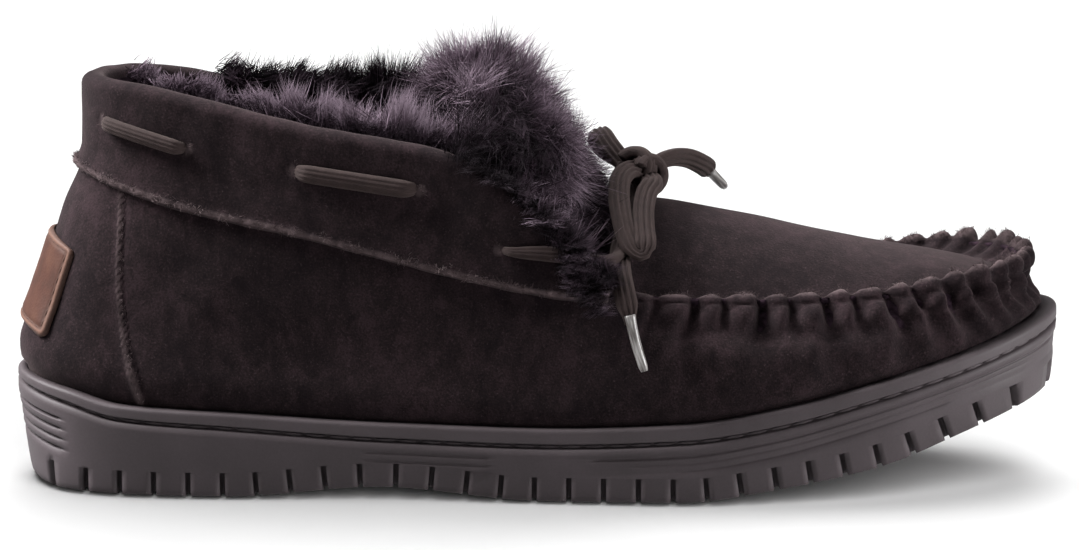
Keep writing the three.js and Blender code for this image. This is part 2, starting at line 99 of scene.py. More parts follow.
def curveThrough(points, step):
    # centripetal Catmull-Rom curve through the points, resampled a step apart
    places = np.array(points, float)
    ends = np.vstack([2 * places[0] - places[1], places, 2 * places[-1] - places[-2]])
    gaps = np.sqrt(np.linalg.norm(np.diff(ends, axis=0), axis=1))
    knots = np.concatenate([[0], np.cumsum(gaps)])
    t = np.linspace(knots[1], knots[-2], 60 * len(places))
    k = np.clip(np.searchsorted(knots, t, side="right") - 1, 1, len(places) - 1)

    def between(a, b, first, last):
        share = ((t - knots[first]) / (knots[last] - knots[first]))[:, None]
        return a * (1 - share) + b * share

    low = between(ends[k - 1], ends[k], k - 1, k)
    inner = between(ends[k], ends[k + 1], k, k + 1)
    high = between(ends[k + 1], ends[k + 2], k + 1, k + 2)
    fine = between(between(low, inner, k - 1, k + 1), between(inner, high, k, k + 2), k, k + 1)
    return resampled(fine, step)


def runOf(points):
    # length from the first point to each point
    return np.concatenate([[0], np.cumsum(np.linalg.norm(np.diff(points, axis=0), axis=1))])


def resampled(points, step):
    # places about a step apart along the line, read off by its run
    run = runOf(points)
    places = np.linspace(0, run[-1], max(2, round(run[-1] / step) + 1))
    return np.stack([np.interp(places, run, points[:, i]) for i in range(3)], -1)


def gridFaces(ids, closed=False):
    # quads of a grid of point numbers; closed joins its last column to the first
    if closed:
        ids = np.column_stack([ids, ids[:, 0]])
    return np.stack([ids[:-1, :-1], ids[:-1, 1:], ids[1:, 1:], ids[1:, :-1]], -1).reshape(-1, 4)


def idsOf(grid, start=0):
    # numbers of a grid's points, row by row, counted from start
    return start + np.arange(grid.shape[0] * grid.shape[1]).reshape(grid.shape[:2])


def endFans(ids):
    # triangles that close a tube's first and last ring on two points numbered after all the others
    turned = np.roll(ids, -1, axis=1)
    middle = np.full(ids.shape[1], ids.size)
    return [np.stack([turned[0], ids[0], middle], -1), np.stack([ids[-1], turned[-1], middle + 1], -1)]


def gridNormals(points):
    # square to the grid at each of its points, from the differences between neighbours
    return unit(np.cross(np.gradient(points, axis=1), np.gradient(points, axis=0)))


def lifted(plan, z):
    # points of a plan given their heights
    return np.concatenate([plan, z[..., None]], -1)


def makePiece(name, points, faceBlocks, material, stands=(), marks=None, uv=None):
    # points in shoe millimetres; faceBlocks are arrays of quads or triangles; marks are values at the points
    mesh = bpy.data.meshes.new(name)
    sizes = np.concatenate([np.full(len(block), block.shape[1]) for block in faceBlocks])
    corners = np.concatenate([block.ravel() for block in faceBlocks]).astype(np.int32)
    mesh.vertices.add(len(points))
    mesh.vertices.foreach_set("co", ((points + sideShift) * mm).astype(np.float32).ravel())
    mesh.loops.add(len(corners))
    mesh.loops.foreach_set("vertex_index", corners)
    mesh.polygons.add(len(sizes))
    mesh.polygons.foreach_set("loop_start", (np.cumsum(sizes) - sizes).astype(np.int32))
    mesh.polygons.foreach_set("use_smooth", np.ones(len(sizes), bool))
    for label, values in (marks or {}).items():
        layer = mesh.attributes.new(label, "FLOAT", "POINT")
        layer.data.foreach_set("value", values.astype(np.float32).ravel())
    if uv is not None:
        mesh.uv_layers.new(name="UVMap").data.foreach_set("uv", uv[corners].astype(np.float32).ravel())
    mesh.update(calc_edges=True)
    mesh.materials.append(material)
    piece = bpy.data.objects.new(name, mesh)
    scene.collection.objects.link(piece)
    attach(piece, "root")
    if stands:
        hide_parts(*stands)
    print(f"{name}: {int((sizes - 2).sum())} triangles")
    return piece


def thicken(piece, thickness):
    # the skin's thickness, added square to it on its inner side
    solid = piece.modifiers.new("skin", "SOLIDIFY")
    solid.thickness = thickness * mm
    solid.offset = -1
    return solid


# Camera, at the photograph's angle

view = {"distance": 1500, "elevation": 10.5, "target": (0.58, 0, 57.9), "focal": 173.3, "sensor": 36}


def makeCamera():
    # a distance back from the target, raised by the elevation
    tilt = math.radians(view["elevation"])
    back = Vector((0, -math.cos(tilt), math.sin(tilt)))
    camera = bpy.data.objects.new("camera", bpy.data.cameras.new("camera"))
    camera.location = (Vector(view["target"]) + back * view["distance"]) * mm
    camera.rotation_euler = (-back).to_track_quat("-Z", "Y").to_euler()
    camera.data.lens = view["focal"]
    camera.data.sensor_width = view["sensor"]
    camera.data.clip_start = 0.1
    camera.data.clip_end = 50
    scene.collection.objects.link(camera)
    scene.camera = camera


makeCamera()
print("camera set")


# Materials

def linear(hexColour):
    # sRGB hex to linear light
    parts = np.array([int(hexColour[i:i + 2], 16) for i in (1, 3, 5)]) / 255
    light = np.where(parts <= 0.04045, parts / 12.92, ((parts + 0.055) / 1.055) ** 2.4)
    return (*light.tolist(), 1.0)


def addNode(tree, kind, inputs=None, stops=None, **settings):
    # one node: its settings, a ramp's stops, and inputs that are constants or other nodes' outputs
    made = tree.nodes.new(kind)
    for name, value in settings.items():
        setattr(made, name, value)
    for i, (place, colour) in enumerate(stops or []):
        elements = made.color_ramp.elements
        stop = elements[i] if i < 2 else elements.new(place)
        stop.position = place
        stop.color = linear(colour)
    for socket, value in (inputs or {}).items():
        if isinstance(value, bpy.types.NodeSocket):
            tree.links.new(value, made.inputs[socket])
        else:
            made.inputs[socket].default_value = value
    return made


def newMaterial(name, **constants):
    # a Principled material with its constant sockets set
    material = bpy.data.materials.new(name)
    material.use_nodes = True
    shader = material.node_tree.nodes["Principled BSDF"]
    for socket, value in constants.items():
        shader.inputs[socket.replace("_", " ")].default_value = value
    return material, material.node_tree, shader


def perMetre(size):
    # noise scale whose features are about size millimetres across
    return 1 / (size * mm)


def brushedSuede(name, dark, middle, light, raw):
    # split cowhide, brushed: dull, with soft patches where the nap lies another way, stray pale fibres and
    # paler raw edges, with a painted highlight on the ridge's top carried by the same edge mark; fibres are
    # drawn at 0.6 mm, coarser than real ones, so that they show
    material, tree, shader = newMaterial(
        name, Roughness=0.95, IOR=1.4, Specular_IOR_Level=0.12, Sheen_Weight=0.08, Sheen_Roughness=0.45,
        Sheen_Tint=linear("#b9a6a6"))
    place = addNode(tree, "ShaderNodeTexCoord").outputs["Object"]
    patches = addNode(tree, "ShaderNodeTexNoise", {"Vector": place, "Scale": perMetre(26), "Detail": 3.0})
    lie = addNode(tree, "ShaderNodeMapping", {
        "Vector": place, "Scale": (1.0, 1.0, 0.7), "Rotation": (0, 0.5, 0)})
    strokes = addNode(tree, "ShaderNodeTexNoise", {
        "Vector": lie.outputs[0], "Scale": perMetre(4.5), "Detail": 6.0, "Roughness": 0.62,
        "Distortion": 0.4})
    grain = addNode(tree, "ShaderNodeTexNoise", {
        "Vector": place, "Scale": perMetre(0.6), "Detail": 2.0, "Roughness": 0.7})
    half = addNode(tree, "ShaderNodeMix", {0: 0.6, 2: patches.outputs[0], 3: strokes.outputs[0]})
    nap = addNode(tree, "ShaderNodeMix", {0: 0.38, 2: half.outputs[0], 3: grain.outputs[0]})
    colour = addNode(tree, "ShaderNodeValToRGB", {0: nap.outputs[0]},
                     [(0.41, dark), (0.6, light), (0.5, middle)])
    edge = addNode(tree, "ShaderNodeAttribute", attribute_name="edge")
    frayed = addNode(tree, "ShaderNodeMath", {0: edge.outputs["Fac"], 1: strokes.outputs[0]},
                     operation="MULTIPLY")
    # paler raw edges, and on the ridge's top a painted highlight, both from the edge mark
    rawEdgeAndHighlight = addNode(tree, "ShaderNodeMapRange", {0: frayed.outputs[0], 1: 0.08, 2: 0.6, 3: 0.0, 4: 0.8})
    fibre = addNode(tree, "ShaderNodeMapRange", {0: grain.outputs[0], 1: 0.66, 2: 0.8, 3: 0.0, 4: 0.28})
    paler = addNode(tree, "ShaderNodeMath", {0: rawEdgeAndHighlight.outputs[0], 1: fibre.outputs[0]},
                    operation="MAXIMUM")
    base = addNode(tree, "ShaderNodeMix", {0: paler.outputs[0], 6: colour.outputs[0], 7: linear(raw)},
                   data_type="RGBA")
    tree.links.new(base.outputs[2], shader.inputs["Base Color"])
    height = addNode(tree, "ShaderNodeMix", {0: 0.6, 2: strokes.outputs[0], 3: grain.outputs[0]})
    relief = addNode(tree, "ShaderNodeBump", {
        "Height": height.outputs[0], "Strength": 0.6, "Distance": 0.4 * mm})
    tree.links.new(relief.outputs[0], shader.inputs["Normal"])
    return material


def mouldedRubber():
    # injection-moulded rubber: half dull, with a faint bloom in patches and a fine spark-eroded grain
    material, tree, shader = newMaterial("mouldedRubber", Roughness=0.58, IOR=1.52, Specular_IOR_Level=0.2)
    place = addNode(tree, "ShaderNodeTexCoord").outputs["Object"]
    bloom = addNode(tree, "ShaderNodeTexNoise", {"Vector": place, "Scale": perMetre(16), "Detail": 4.0})
    grit = addNode(tree, "ShaderNodeTexNoise", {"Vector": place, "Scale": perMetre(0.7), "Detail": 2.0})
    blend = addNode(tree, "ShaderNodeMix", {0: 0.3, 2: bloom.outputs[0], 3: grit.outputs[0]})
    colour = addNode(tree, "ShaderNodeValToRGB", {0: blend.outputs[0]},
                     [(0.3, "#373133"), (0.7, "#423b3e")])
    tree.links.new(colour.outputs[0], shader.inputs["Base Color"])
    gloss = addNode(tree, "ShaderNodeMapRange", {0: bloom.outputs[0], 3: 0.52, 4: 0.66})
    tree.links.new(gloss.outputs[0], shader.inputs["Roughness"])
    relief = addNode(tree, "ShaderNodeBump", {
        "Height": grit.outputs[0], "Strength": 0.25, "Distance": 0.12 * mm})
    tree.links.new(relief.outputs[0], shader.inputs["Normal"])
    return material


def sheepskinPile(name, root, middle, tip):
    # dyed sheepskin: dark at the skin and paler at the hair tips; the tuft mark makes each tuft a little
    # lighter or darker at random, and adds painted light and painted shade
    material, tree, shader = newMaterial(
        name, Roughness=0.9, IOR=1.5, Specular_IOR_Level=0.1, Sheen_Weight=0.1, Sheen_Roughness=0.4,
        Sheen_Tint=linear("#c9b6c4"))
    pile = addNode(tree, "ShaderNodeAttribute", attribute_name="pile")
    tuft = addNode(tree, "ShaderNodeAttribute", attribute_name="tuft")
    # the tuft mark holds painted light and painted shade as well as a random tone
    shade = addNode(tree, "ShaderNodeMapRange", {0: tuft.outputs["Fac"], 3: -0.9, 4: 0.3})
    height = addNode(tree, "ShaderNodeMath", {0: pile.outputs["Fac"], 1: shade.outputs[0]},
                     operation="ADD")
    colour = addNode(tree, "ShaderNodeValToRGB", {0: height.outputs[0]},
                     [(0.1, root), (1.0, tip), (0.6, middle)])
    tree.links.new(colour.outputs[0], shader.inputs["Base Color"])
    return material


def sheepskinBack(name, dark, light):
    # the skin under the pile: almost black between the hairs, felted
    material, tree, shader = newMaterial(name, Roughness=1.0, IOR=1.45, Specular_IOR_Level=0.05)
    place = addNode(tree, "ShaderNodeTexCoord").outputs["Object"]
    felt = addNode(tree, "ShaderNodeTexNoise", {"Vector": place, "Scale": perMetre(2.5), "Detail": 5.0})
    colour = addNode(tree, "ShaderNodeValToRGB", {0: felt.outputs[0]}, [(0.35, dark), (0.7, light)])
    tree.links.new(colour.outputs[0], shader.inputs["Base Color"])
    relief = addNode(tree, "ShaderNodeBump", {
        "Height": felt.outputs[0], "Strength": 1.0, "Distance": 1.2 * mm})
    tree.links.new(relief.outputs[0], shader.inputs["Normal"])
    return material


def wovenCotton():
    # waxed cotton lace: dull, with yarns 0.34 mm apart that run nearly lengthwise; its UV map holds
    # millimetres along and round the lace, and a wave texture's bands lie 2 pi / 20 apart at scale 1
    yarnGap = 0.34375
    yarnSlant = 1.45  # turns the bands almost along the lace
    material, tree, shader = newMaterial(
        "wovenCotton", Roughness=0.8, IOR=1.47, Specular_IOR_Level=0.15, Sheen_Weight=0.08,
        Sheen_Tint=linear("#b8aca4"))
    place = addNode(tree, "ShaderNodeTexCoord").outputs["UV"]
    twill = addNode(tree, "ShaderNodeMapping", {"Vector": place, "Rotation": (0, 0, yarnSlant)})
    yarns = addNode(tree, "ShaderNodeTexWave", {
        "Vector": twill.outputs[0], "Scale": 2 * pi / 20 / yarnGap, "Distortion": 0.7, "Detail": 1.0})
    fluff = addNode(tree, "ShaderNodeTexNoise", {"Vector": place, "Scale": 0.35, "Detail": 4.0})
    blend = addNode(tree, "ShaderNodeMix", {0: 0.5, 2: yarns.outputs["Fac"], 3: fluff.outputs[0]})
    colour = addNode(tree, "ShaderNodeValToRGB", {0: blend.outputs[0]},
                     [(0.15, "#1a1315"), (0.85, "#392e2d"), (0.5, "#271d1c")])
    tree.links.new(colour.outputs[0], shader.inputs["Base Color"])
    relief = addNode(tree, "ShaderNodeBump", {
        "Height": blend.outputs[0], "Strength": 0.6, "Distance": 0.25 * mm})
    tree.links.new(relief.outputs[0], shader.inputs["Normal"])
    return material


def clearPlastic():
    # cellulose film shrunk on the lace: grey, half clear and shiny, streaked lengthwise by the yarns under
    # it; streaks are about 0.9 mm across, on a UV map in millimetres
    material, tree, shader = newMaterial(
        "clearPlastic", Roughness=0.36, IOR=1.47, Specular_IOR_Level=0.4, Transmission_Weight=0.2,
        Coat_Weight=0.2, Coat_Roughness=0.15)
    place = addNode(tree, "ShaderNodeTexCoord").outputs["UV"]
    lengthwise = addNode(tree, "ShaderNodeMapping", {"Vector": place, "Scale": (0.12, 1.0, 1.0)})
    streaks = addNode(tree, "ShaderNodeTexNoise", {
        "Vector": lengthwise.outputs[0], "Scale": 1.1, "Detail": 3.0})
    colour = addNode(tree, "ShaderNodeValToRGB", {0: streaks.outputs[0]},
                     [(0.36, "#403a39"), (0.62, "#999695"), (0.48, "#65615f")])
    tree.links.new(colour.outputs[0], shader.inputs["Base Color"])
    return material


def oiledLeather():
    # vegetable-tanned patch leather, oiled: warm brown in soft clouds with fine pores and a slight shine
    material, tree, shader = newMaterial("oiledLeather", Roughness=0.64, IOR=1.48, Specular_IOR_Level=0.2)
    place = addNode(tree, "ShaderNodeTexCoord").outputs["Object"]
    clouds = addNode(tree, "ShaderNodeTexNoise", {"Vector": place, "Scale": perMetre(7), "Detail": 5.0})
    pores = addNode(tree, "ShaderNodeTexVoronoi", {"Vector": place, "Scale": perMetre(0.8)})
    colour = addNode(tree, "ShaderNodeValToRGB", {0: clouds.outputs[0]},
                     [(0.3, "#2c170f"), (0.72, "#40261b"), (0.5, "#371d14")])
    border = addNode(tree, "ShaderNodeAttribute", attribute_name="border")
    # a paler band between the seam and the edge
    paleBorder = addNode(tree, "ShaderNodeMix", {
        0: border.outputs["Fac"], 6: colour.outputs[0], 7: linear("#6a5045")}, data_type="RGBA")
    edge = addNode(tree, "ShaderNodeAttribute", attribute_name="edge")
    base = addNode(tree, "ShaderNodeMix", {
        0: edge.outputs["Fac"], 6: paleBorder.outputs[2], 7: linear("#3c2a24")}, data_type="RGBA")
    tree.links.new(base.outputs[2], shader.inputs["Base Color"])
    relief = addNode(tree, "ShaderNodeBump", {
        "Height": pores.outputs[0], "Strength": 0.3, "Distance": 0.15 * mm})
    tree.links.new(relief.outputs[0], shader.inputs["Normal"])
    return material


def paintedFloor():
    # white studio sweep: matt, with a hardly visible mottle
    material, tree, shader = newMaterial("paintedFloor", Roughness=0.6, IOR=1.45, Specular_IOR_Level=0.2)
    place = addNode(tree, "ShaderNodeTexCoord").outputs["Object"]
    mottle = addNode(tree, "ShaderNodeTexNoise", {"Vector": place, "Scale": perMetre(60), "Detail": 3.0})
    colour = addNode(tree, "ShaderNodeValToRGB", {0: mottle.outputs[0]},
                     [(0.3, "#ececec"), (0.7, "#f0f0f0")])
    tree.links.new(colour.outputs[0], shader.inputs["Base Color"])
    return material


suede = brushedSuede("brushedSuede", "#0f090c", "#191214", "#261c1f", "#615455")
rubber = mouldedRubber()
longPile = sheepskinPile("longPile", "#0f0a0e", "#40333d", "#82737f")
shortPile = sheepskinPile("shortPile", "#171016", "#483a43", "#857681")
fuzz = sheepskinPile("suedeFuzz", "#2e2425", "#55494a", "#837677")
skinBack = sheepskinBack("skinBack", "#120c10", "#2e222a")
cotton = wovenCotton()
plastic = clearPlastic()
leather = oiledLeather()
print("materials made")


# Shape of the last, shared by every piece: the formulas are those of the part's own source

sole = {"length": 300, "fitGap": 0.3, "cupInset": 6.5, "featherStep": 0.4, "heelEnd": 7, "toeEnd": 5}
top = {"back": -128.3, "front": 142.8, "heelEnd": 7, "toeEnd": 6.5, "ridgeWidth": 5}
band = {"thickness": 1.4, "gap": 0.45}
throatTurn = 2 * pi * 17 / 64  # where the collar ends and the plug begins

soleSections = columnsOf("station centre halfWidth bottom rim floor ledge", [
    (-1, -2.4, 38, 0, 33, 17, 2.4),
    (-0.9, -2.4, 38, 0, 30.6, 17, 2.6),
    (-0.8, -2.4, 38, 0, 27.2, 17, 2.8),
    (-0.6, -2.4, 38, 0, 25.6, 16.5, 3),
    (-0.3, -2.4, 39.5, 3.3, 23.2, 14, 3),
    (0, -1.9, 43.5, 0, 22.2, 12, 3),
    (0.28, -0.4, 49, 0.3, 24.1, 12, 3),
    (0.45, 0.8, 51, 3.5, 28.4, 15, 3.1),
    (0.65, 2.4, 51.5, 9.1, 35.6, 22.5, 3.5),
    (0.85, 3.8, 50.5, 19.2, 43.3, 32, 4.3),
    (1, 4.6, 49, 26.8, 49.8, 38.5, 5),
])
soleSideWall = columnsOf("rise inset", [
    (0, 6), (0.07, 3.8), (0.35, 2.2), (0.65, 0.8), (0.86, 0), (0.95, 0.5), (1, 1.5),
])
topSections = columnsOf("station centre halfWidth height seam drop crown swell", [
    (-1, -2.4, 29, 118, 91, 0, 0, 1),
    (-0.9, -2.4, 29, 117.4, 87, 0, 0, 1),
    (-0.75, -2.4, 30, 113.7, 81.5, 0, 0, 1),
    (-0.55, -2.4, 34, 107.8, 76.3, 0, 0, 1),
    (-0.25, -1.9, 38, 100.5, 66.5, 0, 0, 1),
    (-0.12, -1.4, 40, 91, 62.5, 0, 0, 1),
    (0, -0.9, 41, 77, 59.5, 1, 19, 1),
    (0.1, -0.4, 42, 64, 57.5, 1.2, 19.5, 1),
    (0.18, 0.3, 42, 59.8, 56, 1.5, 22.5, 1),
    (0.4, 1.6, 41.5, 59.5, 56, 2.5, 18.8, 1),
    (0.65, 3.1, 40.5, 61, 56, 3.5, 11, 0.7),
    (0.85, 4.1, 40, 64.8, 56, 5, 4.5, 0.4),
    (1, 4.6, 39, 66.5, 56, 6, 0, 0.1),
])
rearWall = columnsOf("rise lean bulge", [
    (0, 0, 0), (0.04, 0, 2), (0.09, 0.01, 2.4), (0.16, 0.06, 1.5), (0.27, 0.21, 0.7), (0.4, 0.42, 1),
    (0.55, 0.66, 1.2), (0.68, 0.88, 0.6), (0.76, 0.97, 0), (0.9, 0.99, 0), (1, 1, 0),
])
foreWall = columnsOf("rise lean bulge", [
    (0, 0, 0), (0.1, 0.02, 2.4), (0.3, 0.1, 3.8), (0.5, 0.25, 4.2), (0.7, 0.52, 3.6), (0.87, 0.82, 1.8),
    (1, 1, 0),
])


def soleAt(column, station):
    # one of the sole's sizes at a station, from -1 at the heel to 1 at the toe
    return along(soleSections, "station", column, station)


def topAt(column, station):
    # one of the upper's sizes at a station
    return along(topSections, "station", column, station)


def endRound(station, ends):
    # share of the full half width left near an end: sqrt(1 - |station|^n)
    power = np.where(station < 0, ends["heelEnd"], ends["toeEnd"])
    return np.sqrt(np.clip(1 - np.abs(station) ** power, 0, 1))


def stationOf(turn):
    # a turn runs from 0 at the heel along the outer side to pi at the toe, and back along the inner side
    return -np.cos(turn)


def sideOf(turn):
    # -1 on the outer side, which is the first half of a turn, and 1 on the inner side
    return np.where(np.mod(turn, 2 * pi) <= pi, -1.0, 1.0)


def turnOf(station, side):
    # the turn that has this station on this side: arccos(-station), or its mirror image
    outer = np.arccos(-np.asarray(station, float))
    return np.where(side < 0, outer, 2 * pi - outer)


def soleOutline(turn, inset):
    # the outsole's outline in plan, drawn in by inset
    station = stationOf(turn)
    half = (soleAt("halfWidth", station) - inset) * endRound(station, sole)
    across = soleAt("centre", station) + sideOf(turn) * half
    return np.stack(np.broadcast_arrays(station * (sole["length"] / 2 - inset), across), -1)


def topOutline(turn, inset):
    # the collar's and the gathered ridge's outline in plan, drawn in by inset
    station = stationOf(turn)
    half = (topAt("halfWidth", station) - inset) * endRound(station, top)
    lengthwise = mix(top["back"] + inset, top["front"] - inset, (station + 1) / 2)
    return np.stack(np.broadcast_arrays(lengthwise, topAt("centre", station) + sideOf(turn) * half), -1)


def outwards(turn):
    # the sole outline's tangent turned a quarter
    tangent = unit(soleOutline(turn + 0.01, 0) - soleOutline(turn - 0.01, 0))
    return np.stack([tangent[..., 1], -tangent[..., 0]], -1)


def featherAt(station):
    # height where the wall leaves the cup: a small step above the rim
    return soleAt("rim", station) + sole["featherStep"]


def wallPoint(turn, rise, inset=0.0):
    # foot on the sole's outline, lean share of the way to the top outline, plus the wall's own bulge
    turn, rise = np.broadcast_arrays(turn, rise)
    station = stationOf(turn)
    fore = smooth(-0.25, 0.25, station)
    lean = mix(along(rearWall, "rise", "lean", rise), along(foreWall, "rise", "lean", rise), fore)
    bulge = mix(along(rearWall, "rise", "bulge", rise), along(foreWall, "rise", "bulge", rise), fore)
    foot = soleOutline(turn, soleAt("ledge", station) + sole["fitGap"] + inset)
    plan = mix(foot, topOutline(turn, inset), lean[..., None])
    plan = plan + outwards(turn) * (bulge * topAt("swell", station))[..., None]
    return lifted(plan, mix(featherAt(station), topAt("height", station), rise))


def wallNormal(turn, rise):
    # the cross product of a short step along the wall and a short step up it
    step = 0.004
    high = np.minimum(1, rise + step)
    across = wallPoint(turn + step, rise) - wallPoint(turn - step, rise)
    return unit(np.cross(across, wallPoint(turn, high) - wallPoint(turn, high - 2 * step)))


def riseAt(turn, z):
    # height z as a share of the wall, 0 at the cup and 1 at the top
    low = featherAt(stationOf(turn))
    return (z - low) / (topAt("height", stationOf(turn)) - low)


def proudPoint(turn, z, offset):
    # a point at height z that stands off the wall, square to it
    rise = riseAt(turn, z)
    return wallPoint(turn, rise) + wallNormal(turn, rise) * np.asarray(offset)[..., None]


# Lace: flat oval cotton cord, ribbed lengthwise

lace = {
    "width": 6.2, "thickness": 2.8, "flatness": 0.75, "ribs": 4, "ribDepth": 0.36, "step": 1.1, "sides": 44,
    "endPress": 0.5, "foldPress": 0.3,
}
runShape = {  # of the runs on the collar band
    "width": 4.7, "thickness": 3.4, "ribDepth": 0.16, "lift": 0.2, "points": 41, "dive": 3.6,
    "diveReach": 0.055, "scale": 0.94, "taper": 0.34, "taperReach": 0.07, "frontScale": 0.95,
    "frontTaper": 0.5, "frontReach": 0.12,
}
barOffset = band["gap"] + band["thickness"] + runShape["lift"] + lace["thickness"] / 2
bars = [
    {"name": "lace_rear", "stations": (-0.95, -0.779), "heights": (106.2, 99.8), "width": 4.6},
    {"name": "lace_side", "stations": (-0.555, -0.2985), "heights": (94.7, 89.8), "width": 5.4},
]
frontBar = {"stations": (-0.12, -0.04, 0.04), "heights": (73, 72.4, 71.2)}
frontRuns = {
    "outer": [(19, -42.4, 69.4), (24, -31.5, 71.6), (26, -20, 78), (26.2, -6.4, 84.6)],
    "inner": [(19, 41.6, 69.6), (24, 32.5, 72), (26, 21, 78), (26.4, 6.6, 84.6)],
}
bow = {
    "bow_loop_outer": {
        "route": [(29.6, -3, 89), (26.4, -7, 90), (23.6, -14, 88.6), (23, -21, 84.6), (23.8, -28, 79.6),
                  (25.2, -33.4, 75), (27.2, -37, 71.6), (29.2, -37.6, 70.8), (30.2, -35.4, 73.6),
                  (29.9, -30.6, 77.3), (29.9, -24, 81.6), (31, -16.5, 85), (32.8, -9.5, 86.8),
                  (31.4, -4, 87.4)],
        "faceAxis": (0.1, -0.75, 0.65), "length": 0.089},
    "bow_loop_inner": {
        "route": [(27.5, 1.5, 88.4), (24.4, 4, 90.6), (20.6, 8, 94.6), (18.4, 12.5, 97.2), (17.4, 17, 96.6),
                  (17.8, 20.4, 93.6), (20.6, 20, 90.6), (24.4, 15, 89), (27.6, 8, 88.4), (29, 2, 87.8)],
        "widthAxis": (0.9, 0.3, 0.3), "length": 0.054},
    "bow_end_outer": {
        "route": [(30.5, -2.5, 85.6), (29.4, -8, 83.6), (26.8, -17, 79.6), (24.4, -27.5, 74.6), (23, -36, 69),
                  (23.2, -43, 66), (24, -49.6, 62.6), (25.2, -53, 57.6), (25.7, -53.6, 54)],
        "widthAxis": (0.97, 0.1, 0.2), "length": 0.063},
    "bow_end_inner": {
        "route": [(31.5, 0.5, 88.6), (34.6, 2.5, 90.6), (38.8, 7.4, 91.2), (43.4, 14.8, 89.8), (47.4, 22, 87),
                  (49.8, 28, 84.4), (50.6, 30.4, 82.8)],
        "widthAxis": (0.15, -0.6, 0.8), "length": 0.039},
}
tips = {
    "lace_tip_outer": [(25.5, -53.4, 56.6), (27.3, -54.4, 48.8), (29.7, -55, 41)],
    "lace_tip_inner": [(50.1, 28.8, 84), (52.4, 32.6, 81), (55, 36.6, 77.8)],
}
tipShape = {
    "radius": 1.5, "sides": 20, "step": 0.7, "flare": 0.14, "flareReach": 0.12, "taper": 0.1, "pinch": 0.25,
    "pinchReach": 0.06,
}
knot = {"thickness": 3.6, "turn": 1.94, "climb": 1.4, "points": 60}  # turn in half circles
knotRings = {  # centre, radius and axis of the two turns of lace round the knot
    "over": ((28.2, -1.2, 89.4), 4.2, (-0.38, -0.8, 0.46)),
    "under": ((31.4, -2, 87.6), 4.2, (0.52, -0.78, 0.34)),
}


def laceProfile(width=lace["width"], thickness=lace["thickness"], ribDepth=lace["ribDepth"]):
    # oval of the lace's width and thickness, its flat faces raised in ribs
    angle = np.linspace(0, 2 * pi, lace["sides"], endpoint=False)
    across = width / 2 * np.cos(angle)
    through = thickness / 2 * np.sign(np.sin(angle)) * np.abs(np.sin(angle)) ** lace["flatness"]
    ribs = np.cos(2 * pi * across / (width / lace["ribs"]) + pi)
    return np.stack([across, through + ribDepth * ribs * np.sin(angle)], -1)


def tubeAlong(path, widthAxis, profile, scale=None):
    # the profile laid square to the path at each of its points, first axis along widthAxis; ends are closed
    tangent = unit(np.gradient(path, axis=0))
    axis = np.broadcast_to(np.asarray(widthAxis, float), path.shape)
    wide = unit(axis - tangent * (axis * tangent).sum(1, keepdims=True))
    thick = np.cross(tangent, wide)
    size = np.ones(len(path)) if scale is None else scale
    rings = path[:, None] + size[:, None, None] * (
        wide[:, None] * profile[None, :, :1] + thick[:, None] * profile[None, :, 1:])
    ids = idsOf(rings)
    points = np.vstack([rings.reshape(-1, 3), path[:1], path[-1:]])
    run = np.repeat(runOf(path)[:, None], len(profile), 1)
    girth = np.broadcast_to(runOf(profile), run.shape)
    uv = np.vstack([np.stack([run, girth], -1).reshape(-1, 2), [[0, 0]], [[run[-1, 0], 0]]])
    return points, [gridFaces(ids, closed=True), *endFans(ids)], uv


def joined(parts):
    # several meshes as one: points stacked and face numbers moved on
    starts = np.cumsum([0] + [len(part[0]) for part in parts[:-1]])
    points = np.vstack([part[0] for part in parts])
    faces = [block + start for part, start in zip(parts, starts) for block in part[1]]
    return points, faces, np.vstack([part[2] for part in parts])


def barPath(stations, heights, side):
    # a run on the collar band between two slits, its ends bent in through them
    share = np.linspace(0, 1, runShape["points"])
    place = np.linspace(0, 1, len(stations))
    turn = turnOf(np.interp(share, place, stations), side)
    z = np.interp(share, place, heights)
    dive = runShape["dive"] * (bump(share, runShape["diveReach"]) + bump(1 - share, runShape["diveReach"]))
    return proudPoint(turn, z, barOffset - dive), wallNormal(turn, riseAt(turn, z))


def makeLaceBars(sideName, side):
    # two runs between slits, narrowed as they dive into them, and a front run that goes on to the knot
    for bar in bars:
        path, normals = barPath(bar["stations"], bar["heights"], side)
        across = np.cross(normals, unit(np.gradient(path, axis=0)))
        share = np.linspace(0, 1, len(path))
        ends = bump(share, runShape["taperReach"]) + bump(1 - share, runShape["taperReach"])
        profile = laceProfile(bar["width"], runShape["thickness"], runShape["ribDepth"])
        points, faces, uv = tubeAlong(path, across, profile, runShape["scale"] - runShape["taper"] * ends)
        name = f"{bar['name']}_{sideName}"
        makePiece(f"{name}_woven", points, faces, cotton, [name], uv=uv)
    path, _ = barPath(frontBar["stations"], frontBar["heights"], side)
    route = np.vstack([path[:32:4], frontRuns[sideName]])  # every fourth point, short of the run's far end
    path = curveThrough(route, lace["step"])
    flat = np.linspace(0, 1, len(path))[:, None]
    across = mix(np.array([0, 0.15, 1.0]), np.array([1.0, 0, 0.2]), smooth(0.3, 0.7, flat))
    narrow = runShape["frontScale"] - runShape["frontTaper"] * bump(flat[:, 0], runShape["frontReach"])
    profile = laceProfile(runShape["width"], runShape["thickness"], runShape["ribDepth"])
    points, faces, uv = tubeAlong(path, across, profile, narrow)
    name = f"lace_front_{sideName}"
    makePiece(f"{name}_woven", points, faces, cotton, [name], uv=uv)


